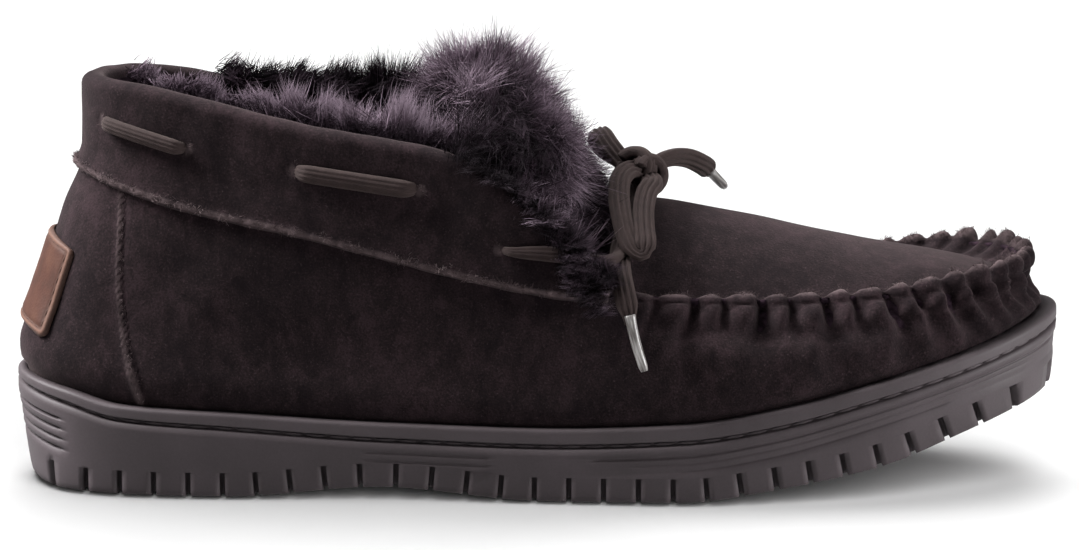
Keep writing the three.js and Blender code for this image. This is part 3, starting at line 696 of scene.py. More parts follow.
def makeTip(name):
    # sleeve: a round tube that flares where the lace enters it and narrows a little to its pinched end
    path = curveThrough(tips[name], tipShape["step"])
    angle = np.linspace(0, 2 * pi, tipShape["sides"], endpoint=False)
    ring = tipShape["radius"] * np.stack([np.cos(angle), np.sin(angle)], -1)
    share = np.linspace(0, 1, len(path))
    width = 1 + tipShape["flare"] * bump(share, tipShape["flareReach"]) - tipShape["taper"] * share
    width = width * (1 - tipShape["pinch"] * bump(1 - share, tipShape["pinchReach"]))
    points, faces, uv = tubeAlong(path, (1, 0.2, 0.1), ring, width)
    return makePiece(f"{name}_sleeve", points, faces, plastic, [name], uv=uv)


def makeBow():
    # the lace's oval carried along each route; pressed together at a tip, and where a loop folds sharply
    for name, cordOf in bow.items():
        path = curveThrough(cordOf["route"], lace["step"])
        isEnd = "end" in name
        share = np.linspace(0, 1, len(path))
        pressed = 1 - lace["endPress"] * smooth(0.9, 1.0, share) if isEnd else np.ones(len(path))
        across = cordOf.get("widthAxis")
        if across is None:
            across = np.cross(cordOf["faceAxis"], np.gradient(path, axis=0))
            turning = np.linalg.norm(np.gradient(unit(np.gradient(path, axis=0)), axis=0), axis=1)
            pressed = 1 - lace["foldPress"] * smooth(0.1, 0.3, turning)
        points, faces, uv = tubeAlong(path, across, laceProfile(), pressed)
        piece = makePiece(f"{name}_woven", points, faces, cotton, [name], uv=uv)
        sleeves = [makeTip(name.replace("bow_end", "lace_tip"))] if isEnd else []


def makeKnot():
    # two turns of lace: rings round the knot's middle that climb along their axis
    parts = []
    for centre, radius, axis in knotRings.values():
        axis = unit(np.array(axis, float))
        first = unit(np.cross(axis, (0.3, 0.1, 1.0)))
        second = np.cross(axis, first)
        angle = np.linspace(0, knot["turn"] * pi, knot["points"])[:, None]
        path = np.array(centre) + radius * (first * np.cos(angle) + second * np.sin(angle))
        path = path + axis * knot["climb"] * (angle / pi - 1)
        parts.append(tubeAlong(path, axis, laceProfile(thickness=knot["thickness"])))
    points, faces, uv = joined(parts)
    makePiece("bow_knot_woven", points, faces, cotton, ["bow_knot"], uv=uv)


for sideName, side in (("outer", -1), ("inner", 1)):
    makeLaceBars(sideName, side)
makeBow()
makeKnot()
print("lace laid")


# Outsole: moulded rubber cup with a stitched groove under its rim

outsole = {
    "slotPitch": 9.8, "slotFirst": -138.3, "slotCount": 30, "slotWidth": 1.25, "slotEdge": 0.15,
    "slotHeight": 8.3, "slotDepth": 3.6, "slotReach": 147.8, "treadInset": 13, "treadGroove": 0.8,
    "acrossTread": 6, "underHeight": 1.5, "underCut": 5, "grooveHeight": 1.6, "grooveDepth": 1.7,
    "rimRadius": 1.1, "upright": 0.6, "panelDepth": 0.35,
}
rimBand = columnsOf("station height", [  # from the rim down to the stitched groove
    (-1, 2.1), (-0.9, 3), (-0.6, 3.5), (-0.3, 4.0), (0, 4.2), (0.28, 4.2), (0.45, 4.3), (0.65, 3.8),
    (0.85, 3.4), (1, 3.1),
])
sideLines = columnsOf("low high below depth width", [  # fine grooves: stations, and depth below the stitching
    (-1.1, -0.912, 4.6, 1.1, 0.42), (-1.1, -0.912, 7.6, 1.1, 0.42), (-1.1, -0.912, 10.6, 1.1, 0.42),
    (-1.1, -0.912, 13.6, 1.1, 0.42),
    (-0.335, -0.095, 3.0, 0.36, 0.4), (-0.335, -0.095, 5.4, 0.36, 0.4), (-0.335, -0.095, 7.6, 0.36, 0.4),
    (0.1, 0.99, 3.2, 0.42, 0.42), (0.18, 0.95, 5.4, 0.25, 0.4), (0.26, 0.8, 7.6, 0.25, 0.4),
])


def stitchTopAt(station):
    # height of the stitched groove's upper edge: the rim less the band above the groove
    return soleAt("rim", station) - along(rimBand, "station", "height", station)


def soleStations():
    # stations of the columns on one side: both edges of every slot, and even steps between slots
    half = outsole["slotWidth"] / 2
    slots = outsole["slotFirst"] + outsole["slotPitch"] * np.arange(outsole["slotCount"])
    outer = half + outsole["slotEdge"]
    edges = slots[:, None] + np.array([-outer, -half, half, outer])
    between = edges[:-1, 3:] + (edges[1:, :1] - edges[:-1, 3:]) * np.linspace(0, 1, 6)[1:-1]
    reach = outsole["slotReach"]
    turns = np.arccos(-np.sort(np.concatenate([edges.ravel(), between.ravel()]) / reach))
    heel = np.linspace(0, turns[0], 12)[:-1]
    toe = np.linspace(turns[-1], pi, 12)[1:]
    cut = (np.abs(slots[:, None] / reach + np.cos(turns)) < (half + 0.01) / reach).any(0)
    flags = np.concatenate([np.zeros(len(heel), bool), cut, np.zeros(len(toe), bool)])
    return np.concatenate([heel, turns, toe]), flags


def soleHeights(bottom, rim, stitchLow, stitchTop):
    # heights of the rings from below: tread, slots, side lines, stitched groove and rounded rim
    slotTop = outsole["slotHeight"]
    heights = [bottom + low for low in (0.7, 1.4, 1.6, 3, 5, slotTop - 0.03)]
    lines = sideLines["below"][:, None] + np.array([-0.52, -0.3, 0, 0.3, 0.52])
    steps = np.unique(np.concatenate([np.arange(0, 20, 2.0), lines.ravel()]).round(2))[::-1]
    heights += [np.maximum(stitchLow - step, bottom + slotTop + 0.01 * row) for row, step in enumerate(steps)]
    heights += [mix(stitchLow, stitchTop, share) for share in (0.12, 0.25, 0.5, 0.75, 0.88)]
    rimShares = (0, 0.1, 0.3, 0.5, 0.7, 0.79, 0.86, 0.92, 0.965, 0.99, 1)
    heights += [mix(stitchTop, rim, share) for share in rimShares]
    return np.vstack([bottom, bottom, *heights])


def soleInset(z, station, bottom, rim, stitchLow, stitchTop):
    # how far the outline is drawn in at each height: the side wall's inset, less of it where the wall stands
    # upright, the cut under its lower edge, a quarter round at the rim, the stitched groove, the fine side
    # lines, and a shallow panel from the waist to the toe
    inset = along(soleSideWall, "rise", "inset", (z - bottom) / (rim - bottom))
    upright = smooth(-1, -0.9, station) * (1 - smooth(0.2, 0.6, station)) + smooth(0.75, 0.95, station)
    inset = inset * (1 - outsole["upright"] * upright)
    inset = inset + outsole["underCut"] * np.clip(1 - (z - bottom) / outsole["underHeight"], 0, 1)
    inset[0] = outsole["treadInset"]
    rounding = np.clip((z - rim) / outsole["rimRadius"] + 1, 0, 1)
    rimInset = outsole["rimRadius"] * (1 - np.sqrt(1 - rounding ** 2)) + 0.05
    inset = np.where(z > stitchTop - 0.01, rimInset, inset)
    below = stitchLow - z
    grooveTop = -outsole["grooveHeight"]
    inGroove = smooth(grooveTop, grooveTop * 0.8, below) * (1 - smooth(-0.35, 0, below))
    inset = inset + outsole["grooveDepth"] * inGroove
    for low, high, place, depth, width in zip(*sideLines.values()):
        reach = smooth(low, low + 0.008, station) * (1 - smooth(high - 0.008, high, station))
        inset = inset + depth * reach * bump(below - place, width, 3)
    panel = smooth(0, 0.25, station) * smooth(2.2, 2.6, below) * (1 - smooth(7.4, 9, below))
    return inset + outsole["panelDepth"] * panel


def makeOutsole():
    # rings of the sole's outline at each height, each drawn in by its inset and the slots' columns by more;
    # slots stay square to the sloping tread, and straight rows close the tread and the cup's floor
    near, nearCut = soleStations()
    turn = np.concatenate([near, 2 * pi - near[-2:0:-1]])
    cut = np.concatenate([nearCut, nearCut[-2:0:-1]])
    station = stationOf(turn)
    bottom, rim = soleAt("bottom", station), soleAt("rim", station)
    slope = (soleAt("bottom", station + 0.01) - soleAt("bottom", station - 0.01)) / (0.01 * sole["length"])
    slotTop = outsole["slotHeight"]
    stitchTop = stitchTopAt(station)
    stitchLow = stitchTop - outsole["grooveHeight"]
    z = soleHeights(bottom, rim, stitchLow, stitchTop)
    inset = soleInset(z, station, bottom, rim, stitchLow, stitchTop)
    inSlot = cut[None, :] & (z < bottom + slotTop - 0.01)
    inset = np.minimum(inset + outsole["slotDepth"] * inSlot, outsole["treadInset"])
    z = z + np.where(cut, outsole["treadGroove"], 0) * (np.arange(len(z)) < 2)[:, None]
    height = np.minimum(z - bottom, slotTop)
    square = (station * outsole["slotReach"] - slope * height) / (sole["length"] / 2 - inset)
    straight = 1 - smooth(0.88, 0.97, np.abs(station))
    lowPart = 1 - smooth(0.3, 1.0, (z - bottom) / (rim - bottom))
    rowStation = np.clip(mix(station, square, straight * lowPart), -1, 1)
    rowTurn = turnOf(rowStation, sideOf(turn))
    wall = lifted(soleOutline(rowTurn, inset), z)
    ledge = lifted(soleOutline(turn, soleAt("ledge", station)), rim)
    floor = lifted(soleOutline(turn, sole["cupInset"]), soleAt("floor", station))
    rings = np.concatenate([wall, ledge[None], floor[None]])
    ids = idsOf(rings)
    faces = [gridFaces(ids, closed=True)]
    points = [rings.reshape(-1, 3)]
    count = ids.size
    for ring, faceDown in ((0, True), (-1, False)):
        across, blocks, count = lidAcross(rings[ring], ids[ring], count, outsole["acrossTread"], faceDown)
        points.append(across)
        faces += blocks
    makePiece("outsole_moulded", np.vstack(points), faces, rubber, ["outsole"])


def lidAcross(ring, ids, start, parts, faceDown):
    # straight rows from each point of one side to its twin on the other; the two ends close as triangles
    half = len(ring) // 2
    near, far = ring[1:half], ring[:half:-1]
    share = np.linspace(0, 1, parts + 1)[1:-1]
    rows = near[:, None] + (far - near)[:, None] * share[:, None]
    inner = idsOf(rows, start)
    grid = np.column_stack([ids[1:half], inner, ids[:half:-1]])
    quads = gridFaces(grid)
    heel = np.stack([np.full(parts, ids[0]), grid[0, 1:], grid[0, :-1]], -1)
    toe = np.stack([np.full(parts, ids[half]), grid[-1, :-1], grid[-1, 1:]], -1)
    blocks = [quads[:, ::-1], heel[:, ::-1], toe[:, ::-1]]
    if faceDown:
        blocks = [block[:, ::-1] for block in blocks]
    return rows.reshape(-1, 3), blocks, start + inner.size


soleStitch = {"pitch": 6.6, "length": 6.1, "height": 1.0, "depth": 0.8, "rings": 6, "sides": 8, "inset": 1.25}


def spindles(centres, ways, outs, size):
    # small spindle bodies: each ring is an oval across the stitch, swelling as sin along it
    share = np.linspace(0, 1, size["rings"] + 1)
    angle = np.linspace(0, 2 * pi, size["sides"], endpoint=False)
    swell = np.sin(pi * share) ** 0.6
    ups = np.cross(ways, outs)
    lengthwise = (size["length"] * (share - 0.5))[None, :, None, None]
    body = centres[:, None, None] + ways[:, None, None] * lengthwise
    body = body + outs[:, None, None] * (size["depth"] / 2 * swell[:, None] * np.cos(angle))[None, ..., None]
    body = body + ups[:, None, None] * (size["height"] / 2 * swell[:, None] * np.sin(angle))[None, ..., None]
    ids = idsOf(body[0])
    quads = gridFaces(ids, closed=True)[:, ::-1]
    each = np.arange(len(centres))[:, None, None] * ids.size
    return body.reshape(-1, 3), [(quads[None] + each).reshape(-1, 4)]


def makeSoleStitches():
    # one spindle for each stitch, lying in the groove under the rim
    turn = np.linspace(0, 2 * pi, 4000)
    station = stationOf(turn)
    z = stitchTopAt(station) - outsole["grooveHeight"] / 2
    line = lifted(soleOutline(turn, soleStitch["inset"]), z)
    run = runOf(line)
    count = round(run[-1] / soleStitch["pitch"])
    places = np.linspace(0, run[-1], count, endpoint=False)
    centres = np.stack([np.interp(places, run, line[:, i]) for i in range(3)], -1)
    after = np.stack([np.interp(places + 0.5, run, line[:, i], period=run[-1]) for i in range(3)], -1)
    ways = unit(after - centres)
    outs = unit(np.cross(ways, (0, 0, 1.0)))
    points, faces = spindles(centres, ways, outs, soleStitch)
    makePiece("outsole_stitching", points, faces, rubber)


makeOutsole()
makeSoleStitches()
print("sole moulded")


# Upper: suede wall, gathered ridge and plug as one skin

upper = {
    "rearStep": 2.2, "foreStep": 0.9, "seamStep": 0.75, "wallRows": 54, "rollRows": 14, "plugColumns": 40,
    "slopeRows": 5, "skin": 2.2, "underBand": 2.2, "rollWidth": 2.6, "rollInset": 2.6, "rollFrom": -18,
    "rollTo": 212, "undercut": 0.3, "ridgeStart": 10, "creaseScale": 1.4, "fullCrease": 3.3,
    "creaseShift": 1.7, "deepest": 4.0, "deeperToe": 1.2, "pinch": 0.8, "lobe": 1.7, "waist": 1.0,
    "belly": 0.9, "ruffle": 1.2, "toeSlope": 5.0, "toeFoot": 1.9,
}
# gathers along the ridge: millimetres from the throat, on each side of the toe
creases = columnsOf("place depth reach slant width", [
    (13.2, 2.0, 7, 0.02, 2.2), (23.6, 3.2, 13, 0.03, 2.5), (32.2, 2.6, 9, 0.06, 2.1),
    (42.3, 3.6, 14, 0.08, 2.6), (50.6, 2.8, 10, 0.12, 2.2), (60.1, 3.7, 15, 0.14, 2.5),
    (68.2, 3.0, 11, 0.24, 2.3), (77.6, 4.0, 16, 0.28, 2.7), (85.6, 3.4, 15, 0.4, 2.4),
    (94.4, 4.2, 19, 0.42, 2.6), (102.2, 3.6, 19, 0.5, 2.4), (110.6, 4.2, 22, 0.4, 2.5),
    (117.4, 3.6, 19, 0.32, 2.2), (125.4, 4.1, 22, 0.2, 2.4), (132.2, 3.6, 20, 0.16, 2.2),
    (140.4, 4.0, 21, 0.07, 2.4), (147.4, 3.6, 19, 0.04, 2.2),
])
counterSeam = columnsOf("z x", [
    (20, -111.5), (28, -112.8), (45, -117), (65, -118.6), (83, -118), (100, -118),
])
seamBead = {"height": 0.75, "groove": 0.55, "pale": 0.68, "lowWidth": 1.3, "highWidth": 0.6, "rough": 0.15}
softFolds = columnsOf("x z tilt length width depth", [  # broad folds in the suede of both sides
    (-95, 52, 1.2, 26, 6, 0.5), (-58, 44, 0.5, 30, 7, -0.4), (-20, 40, 0.2, 34, 8, 0.5),
    (18, 44, -0.3, 26, 7, -0.5), (45, 40, 1.1, 22, 6, 0.45), (80, 46, 0.9, 20, 5, 0.5),
    (104, 52, 0.8, 18, 5, -0.4), (-128, 60, 1.4, 24, 6, 0.4),
])


def upperTurns():
    # columns on the outer side, stepped along the top outline, closest at the panel seam and in front of the
    # throat; then their twins on the inner side
    def stepped(first, last, stepAt):
        fine = np.linspace(first, last, 4000)
        line = topOutline(fine, 0)
        gaps = np.linalg.norm(np.diff(line, axis=0), axis=1) / stepAt(line[1:, 0])
        count = np.concatenate([[0], np.cumsum(gaps)])
        return np.interp(np.linspace(0, count[-1], round(count[-1]) + 1), count, fine)

    def rearStep(x):
        return mix(upper["seamStep"], upper["rearStep"], smooth(12, 18, np.abs(x + 106)))

    rear = stepped(0, throatTurn, rearStep)
    fore = stepped(throatTurn, pi, lambda x: upper["foreStep"])
    near = np.concatenate([rear[:-1], fore])
    return np.concatenate([near, 2 * pi - near[-2:0:-1]]), len(rear) - 1, len(near) - 1


def creaseDepth(place, middle, down):
    # the deepest trough at this place: each drops steeply behind one lump and rises slowly to the next,
    # slants toward the toe, and widens and fades with the distance down from the ridge
    deepest = np.zeros(np.broadcast(place, down).shape)
    for at, depth, reach, slant, width in zip(*creases.values()):
        for centre, way in ((at, 1), (2 * middle - at - upper["creaseShift"], -1)):
            wander = 0.9 * np.sin(down / 4.5 + 1.7 * at) * smooth(1, 7, down)
            off = (place - centre) * way - slant * down - wander
            steep, slow = 1.6 + 0.18 * down, width * (1 + np.minimum(down, 9) / 9)
            beside = np.where(off < 0, bump(off, steep), bump(off, slow, 1.7))
            deepest = np.maximum(deepest, depth * beside * bump(down, 1.2 * reach, 1.9))
    return deepest


def wallRelief(points, station):
    # panel seam: a raised bead with a groove in front of it; and soft folds across both sides
    x, z = points[..., 0], points[..., 2]
    beyond = x - along(counterSeam, "z", "x", z)
    behindThroat = 1 - smooth(-0.2, 0.0, station)
    rough = 1 + seamBead["rough"] * uneven(points, 5, 11)
    width = mix(seamBead["lowWidth"], seamBead["highWidth"], smooth(28, 52, z))
    bead = bump(beyond, width)
    groove = bump(beyond - 1.7 * width, 0.6)
    relief = (seamBead["height"] * bead * rough - seamBead["groove"] * groove) * behindThroat
    edge = seamBead["pale"] * bead * behindThroat
    for atX, atZ, tilt, length, across, depth in zip(*softFolds.values()):
        run = (x - atX) * math.cos(tilt) + (z - atZ) * math.sin(tilt)
        off = (z - atZ) * math.cos(tilt) - (x - atX) * math.sin(tilt)
        relief = relief + depth * bump(run, length / 2) * bump(off, across)
    return relief + 0.22 * uneven(points, 16, 5), edge


def makeUpper():
    # one grid of columns round the shoe: a creased wall, an oval roll over its edge in front of the throat,
    # and a crowned plug between the two sides of the roll
    turn, throat, toe = upperTurns()
    count = len(turn)
    station = stationOf(turn)
    height, low = topAt("height", station), featherAt(station)
    fore = (np.arange(count) >= throat) & (np.arange(count) <= count - throat)
    ridge = topOutline(turn, upper["rollInset"])
    run = runOf(ridge[throat:count - throat + 1])
    place = np.full(count, -1e3)
    place[fore] = run
    middle = run[toe - throat]
    gather = smooth(upper["ridgeStart"] - 5, upper["ridgeStart"] + 3, np.minimum(place, 2 * middle - place))
    rollHigh = 0.6 * topAt("drop", station) + 0.4
    endHeight = height - np.where(fore, np.maximum(1.45 * rollHigh, upper["underBand"]), upper["underBand"])

    # wall: from the tuck inside the cup up to the ridge's underside
    share = np.linspace(0, 1, upper["wallRows"]) ** 0.85
    rise = share[:, None] * ((endHeight - low) / (height - low))[None, :]
    wall = wallPoint(turn[None, :], rise)
    down = (endHeight - wall[..., 2]) * 1.08
    relief, edge = wallRelief(wall, station[None, :])
    atToe = smooth(0.82, 0.97, station)
    trough = upper["creaseScale"] * creaseDepth(place[None, :], middle, down + 1.5) * gather
    trough = trough * (1 - 0.75 * atToe * smooth(4, 13, down))
    atRidge = creaseDepth(place[None, :], middle, np.zeros((1, 1))) / upper["fullCrease"]
    full = gather * (1 - np.clip(atRidge, 0, 1))
    swell = upper["lobe"] * bump(down - 1.8, 3.0) - upper["waist"] * bump(down - 7.5, 3.2)
    lobe = swell * full * (1 - 0.5 * atToe)
    lobe = lobe + upper["belly"] * bump(down - 13, 8) * gather * (1 - atToe)
    lobe = lobe + upper["toeFoot"] * atToe * bump(rise - 0.12, 0.17)
    pulledIn = upper["undercut"] * bump(down, 2.4) * gather
    foot = smooth(0.0, 0.05, share)[:, None]
    deepest = upper["deepest"] + upper["deeperToe"] * smooth(0.5, 0.75, station) + 0.2 * down
    hollow = np.minimum(trough + pulledIn, deepest)
    wall = wall + wallNormal(turn[None, :], rise) * ((relief + lobe - hollow) * foot)[..., None]
    tuckPlan = soleOutline(turn, sole["cupInset"] + sole["fitGap"])
    tuck = lifted(tuckPlan, soleAt("floor", station) + sole["fitGap"] + upper["skin"])
    rings = np.concatenate([tuck[None], wall])
    ids = idsOf(rings)
    edges = np.concatenate([np.zeros((1, count)), edge])

    # ridge: an oval roll over the wall's top, pinched at every crease
    some = np.nonzero(fore)[0]
    toeShare = smooth(0.6, 0.9, station[some])
    share = np.linspace(0, 1, upper["rollRows"])[:, None]
    angle = np.radians(mix(upper["rollFrom"], upper["rollTo"] - 60 * toeShare[None, :], share))
    out = outwards(turn[some])
    pinch = atRidge[:, some] * gather[some]
    line = np.pad(ridge[some], ((0, 0), (0, 1)))
    rough = 0.14 * uneven(line, 6, 23) + 0.06 * uneven(line, 2.6, 29)
    lump = 1 - upper["pinch"] * (1 - 0.55 * toeShare) * pinch + rough * gather[some]
    wide = upper["rollWidth"] * np.cos(angle) * lump
    tall = rollHigh[some] * np.sin(angle) * lump
    ruffle = smooth(0.8, 0.97, station[some]) * (1 - pinch) * np.clip(np.sin(angle) + 0.4, 0, None)
    tall = tall + upper["ruffle"] * ruffle * np.where(sideOf(turn[some]) > 0, 1.0, 0.5)
    beside = wide + 0.9 * ruffle + full[:, some] * np.clip(np.cos(angle), 0, 1)
    plan = ridge[some][None] + out[None] * beside[..., None]
    roll = lifted(plan, height[some] - rollHigh[some] + tall)
    rollIds = idsOf(roll, ids.size)
    # pale raw edge fibres along the roll's top, partly a painted highlight there, weaker in the pinches
    rollEdgeAndHighlight = 0.8 * bump(np.degrees(angle) - 105, 50) * (0.55 + 0.45 * gather[some]) * (1 - 0.5 * pinch)

    # plug: rows from the near edge to the far edge, crowned as 1 - (2u - 1)^2
    half = len(some) // 2
    plan = topOutline(turn[some], top["ridgeWidth"] + 0.2 + upper["toeSlope"] * toeShare)
    rim = lifted(plan, (height - topAt("drop", station) - 0.25)[some])
    share = np.linspace(0, 1, upper["plugColumns"] + 1)
    near, far = rim[:half], rim[:half:-1]
    rows = near[:, None] + (far - near)[:, None] * share[:, None]
    rows[..., 2] += topAt("crown", station[some][:half])[:, None] * (1 - (2 * share - 1) ** 2)
    inward = np.minimum(share, 1 - share)[None, :] * np.linalg.norm(far - near, axis=1)[:, None]
    gathers = np.maximum(pinch[0, :half, None] * (share < 0.5), pinch[0, :half:-1, None] * (share >= 0.5))
    rows[..., 2] += 0.28 * uneven(rows, 24, 41) * smooth(0, 10, inward) - 0.7 * gathers * bump(inward, 5)
    share = np.linspace(0, 1, upper["slopeRows"] + 2)[1:-1, None, None]
    slope = mix(roll[-1][None], rim[None], share)
    slope[..., 2] -= (0.7 * toeShare * pinch + 0.4) * np.sin(pi * share[..., 0])
    slopeIds = idsOf(slope, ids.size + rollIds.size)
    plugIds = idsOf(rows, slopeIds[-1, -1] + 1)
    tip = plugIds[-1, -1] + 1
    points = np.vstack([part.reshape(-1, 3) for part in (rings, roll, slope, rows, rim[half])])
    marks = np.concatenate([edges.ravel(), rollEdgeAndHighlight.ravel(), np.zeros(slopeIds.size + plugIds.size + 1)])
    rimIds = np.concatenate([plugIds[:, 0], [tip], plugIds[::-1, -1]])
    front = np.stack([plugIds[-1, :-1], np.full(upper["plugColumns"], tip), plugIds[-1, 1:]], -1)
    faces = [
        gridFaces(ids, closed=True),
        gridFaces(np.vstack([ids[-1, some], rollIds, slopeIds, rimIds])),
        gridFaces(plugIds)[:, ::-1],
        front,
    ]
    piece = makePiece("upper_suede", points, faces, suede, ["upper"], {"edge": marks})
    piece.data.materials.append(skinBack)
    solid = thicken(piece, upper["skin"])
    solid.material_offset = 1  # the inner side is the back of the skin
    solid.material_offset_rim = 0
    return ("counter", wall, edge), ("ridge", roll, rollEdgeAndHighlight)


upperEdges = makeUpper()
print("upper lasted")


# Collar band: a strip of suede folded over the collar's edge, with a raised seam below

collar = {
    "step": 0.95, "foldHeight": 3.2, "foldInside": -5.65, "hem": 6, "beadHeight": 1.15, "beadRise": 1.1,
    "slitDepth": 1.6, "slitLength": 1.9, "slitWidth": 1.2,
}


def slitPlaces():
    # both ends of every lace run on the band, with the run's own direction
    places, ways = [], []
    for side in (-1, 1):
        for run in (*bars, frontBar):
            path, _ = barPath(run["stations"], run["heights"], side)
            ends = [(0, 6)] if run is frontBar else [(0, 6), (-1, -7)]
            for end, beside in ends:
                places.append(path[end])
                ways.append(unit(path[beside] - path[end]))
    return np.array(places), np.array(ways)


def collarPath(turn, inward):
    # one face of the folded strip, bottom edge up, over the fold and down inside; inward makes the lower face
    station = stationOf(turn)
    seam, height = topAt("seam", station), topAt("height", station)
    out = band["gap"] + band["thickness"] - inward
    back = collar["foldInside"] + inward
    foldRise = collar["foldHeight"] - inward
    foldLow = height - collar["foldHeight"]
    climb = np.concatenate([np.array([0, 0.15, 0.35]) * 0.08, np.linspace(0.06, 1, 27)])
    bend = np.linspace(0, pi, 11)[1:]
    hem = np.linspace(0, 1, 5)[1:]
    z = [mix(seam, foldLow, t) for t in climb] + [foldLow for _ in bend]
    z += [foldLow - collar["hem"] * t for t in hem]
    z = np.array(z)
    fold = mix(back, out, (1 + np.cos(bend)) / 2)
    offset = np.concatenate([np.full(len(climb), out), fold, np.full(len(hem), back)])
    offset = np.broadcast_to(offset[:, None], z.shape).copy()
    if inward == 0:
        line = wallPoint(turn, 0.7)
        frayed = 1 + 0.6 * uneven(line, 3.2, 31) + 0.35 * uneven(line, 1.9, 33)
        offset += collar["beadHeight"] * frayed * bump(z - seam - collar["beadRise"], 0.75)
        offset[:3] -= np.array([0.9, 0.35, 0.1])[:, None]  # the lowest rows are rounded in to the wall
    lift = np.concatenate([np.zeros(len(climb)), foldRise * np.sin(bend), np.zeros(len(hem))])
    points = proudPoint(np.broadcast_to(turn, z.shape), z, offset)
    points[..., 2] += lift[:, None]
    return points, z - seam


def makeCollar():
    # the strip's two faces, joined along their edges and closed at both ends; its outer face is dented at
    # every slit by a hill along the lace run times a hill across it
    fine = np.linspace(-throatTurn, throatTurn, 4000)
    run = runOf(topOutline(fine, 0))
    steps = np.linspace(0, run[-1], round(run[-1] / collar["step"]) + 1)
    turn = np.interp(steps, run, fine)
    outer, aboveSeam = collarPath(turn, 0.0)
    inner, _ = collarPath(turn, band["thickness"])
    normals = gridNormals(outer)
    places, ways = slitPlaces()
    dent = np.zeros(outer.shape[:2])
    for place, way in zip(places, ways):
        away = outer - place
        lengthwise = (away * way).sum(-1)
        sideways = np.linalg.norm(away - lengthwise[..., None] * way, axis=-1)
        dent = np.maximum(dent, bump(lengthwise, collar["slitWidth"]) * bump(sideways, collar["slitLength"]))
    relief = 0.2 * uneven(outer, 14, 8) - collar["slitDepth"] * dent
    outer = outer + normals * relief[..., None]
    edge = np.maximum(0.75 * bump(aboveSeam - collar["beadRise"], 0.8), 3.2 * dent * (1 - dent))
    toFront = np.minimum(steps, run[-1] - steps)
    edge = np.maximum(edge, 0.6 * bump(toFront, 3.0) * (1 - smooth(4, 10, aboveSeam)))
    ids = idsOf(outer)
    under = ids + ids.size
    loop = np.vstack([ids, under[::-1], ids[:1]])
    startCap = np.stack([ids[:-1, 0], ids[1:, 0], under[1:, 0], under[:-1, 0]], -1)
    endCap = np.stack([ids[:-1, -1], under[:-1, -1], under[1:, -1], ids[1:, -1]], -1)
    points = np.vstack([outer.reshape(-1, 3), inner.reshape(-1, 3)])
    marks = np.concatenate([edge.ravel(), np.zeros(ids.size)])
    faces = [gridFaces(loop), startCap, endCap]
    makePiece("collar_band_suede", points, faces, suede, ["collar_band"], {"edge": marks})
    return "collar", outer, edge


collarEdge = makeCollar()
print("collar sewn")


# Heel patch: a bare leather label sewn on near its edge

patch = {
    "halfTurn": 0.338, "low": 47, "high": 72.6, "drop": 3.0, "corner": 2.4, "halfWidth": 20, "gap": 0.3,
    "thickness": 1.5, "edgeThickness": 0.3, "columns": 84, "rows": 44, "seamInset": 2.0, "seamDepth": 0.4,
    "roundness": 0.9,
}
patchStitch = {"pitch": 3.3, "length": 2.5, "height": 0.55, "depth": 0.5, "rings": 4, "sides": 6}


def patchGrid(offset):
    # the wall's own surface, stood off by offset, over a rectangle with rounded corners and hanging sides
    u, v = np.meshgrid(np.linspace(-1, 1, patch["columns"] + 1), np.linspace(0, 1, patch["rows"] + 1))
    tall = patch["high"] - patch["low"]
    toCorner = np.clip(patch["corner"] - np.minimum(v, 1 - v) * tall, 0, None)
    cut = patch["corner"] - np.sqrt(patch["corner"] ** 2 - toCorner ** 2)
    turn = u * patch["halfTurn"] * (1 - cut / patch["halfWidth"])
    z = patch["low"] + v * tall - patch["drop"] * u ** 2
    return proudPoint(turn, z, np.broadcast_to(offset, turn.shape))


def makePatch():
    # upper and lower face joined by a skirt; the upper one is rounded down at its edge and pressed in along
    # the seam
    flat = patchGrid(0.0)
    width = runOf(flat[patch["rows"] // 2])
    tall = runOf(flat[:, patch["columns"] // 2])
    side = np.minimum(width, width[-1] - width)[None, :]
    ends = np.minimum(tall, tall[-1] - tall)[:, None]
    rim = np.minimum(side, ends)
    seam = bump(rim - patch["seamInset"], 0.4)
    thin = patch["edgeThickness"]
    height = patch["gap"] + thin + (patch["thickness"] - thin) * smooth(-0.2, patch["roundness"], rim)
    height = height - patch["seamDepth"] * seam + 0.12 * uneven(flat, 9, 3)
    over, under = patchGrid(height), patchGrid(patch["gap"])
    ids = idsOf(over)
    below = ids + ids.size
    around = np.concatenate([ids[0], ids[1:, -1], ids[-1, -2::-1], ids[-2:0:-1, 0]])
    skirt = gridFaces(np.vstack([around + ids.size, around]), closed=True)
    edge = np.clip(1 - smooth(0.1, 1.1, rim) + 0.75 * seam, 0, 1)
    border = 0.6 * smooth(0.2, 0.7, rim) * (1 - smooth(1.5, 2.1, rim))
    points = np.vstack([over.reshape(-1, 3), under.reshape(-1, 3)])
    marks = {"edge": np.concatenate([edge.ravel(), np.ones(ids.size)]),
             "border": np.concatenate([border.ravel(), np.zeros(ids.size)])}
    faces = [gridFaces(ids), gridFaces(below)[:, ::-1], skirt]
    makePiece("heel_patch", points, faces, leather, ["heel_tab"], marks)
    makePatchStitches(over, width, tall)


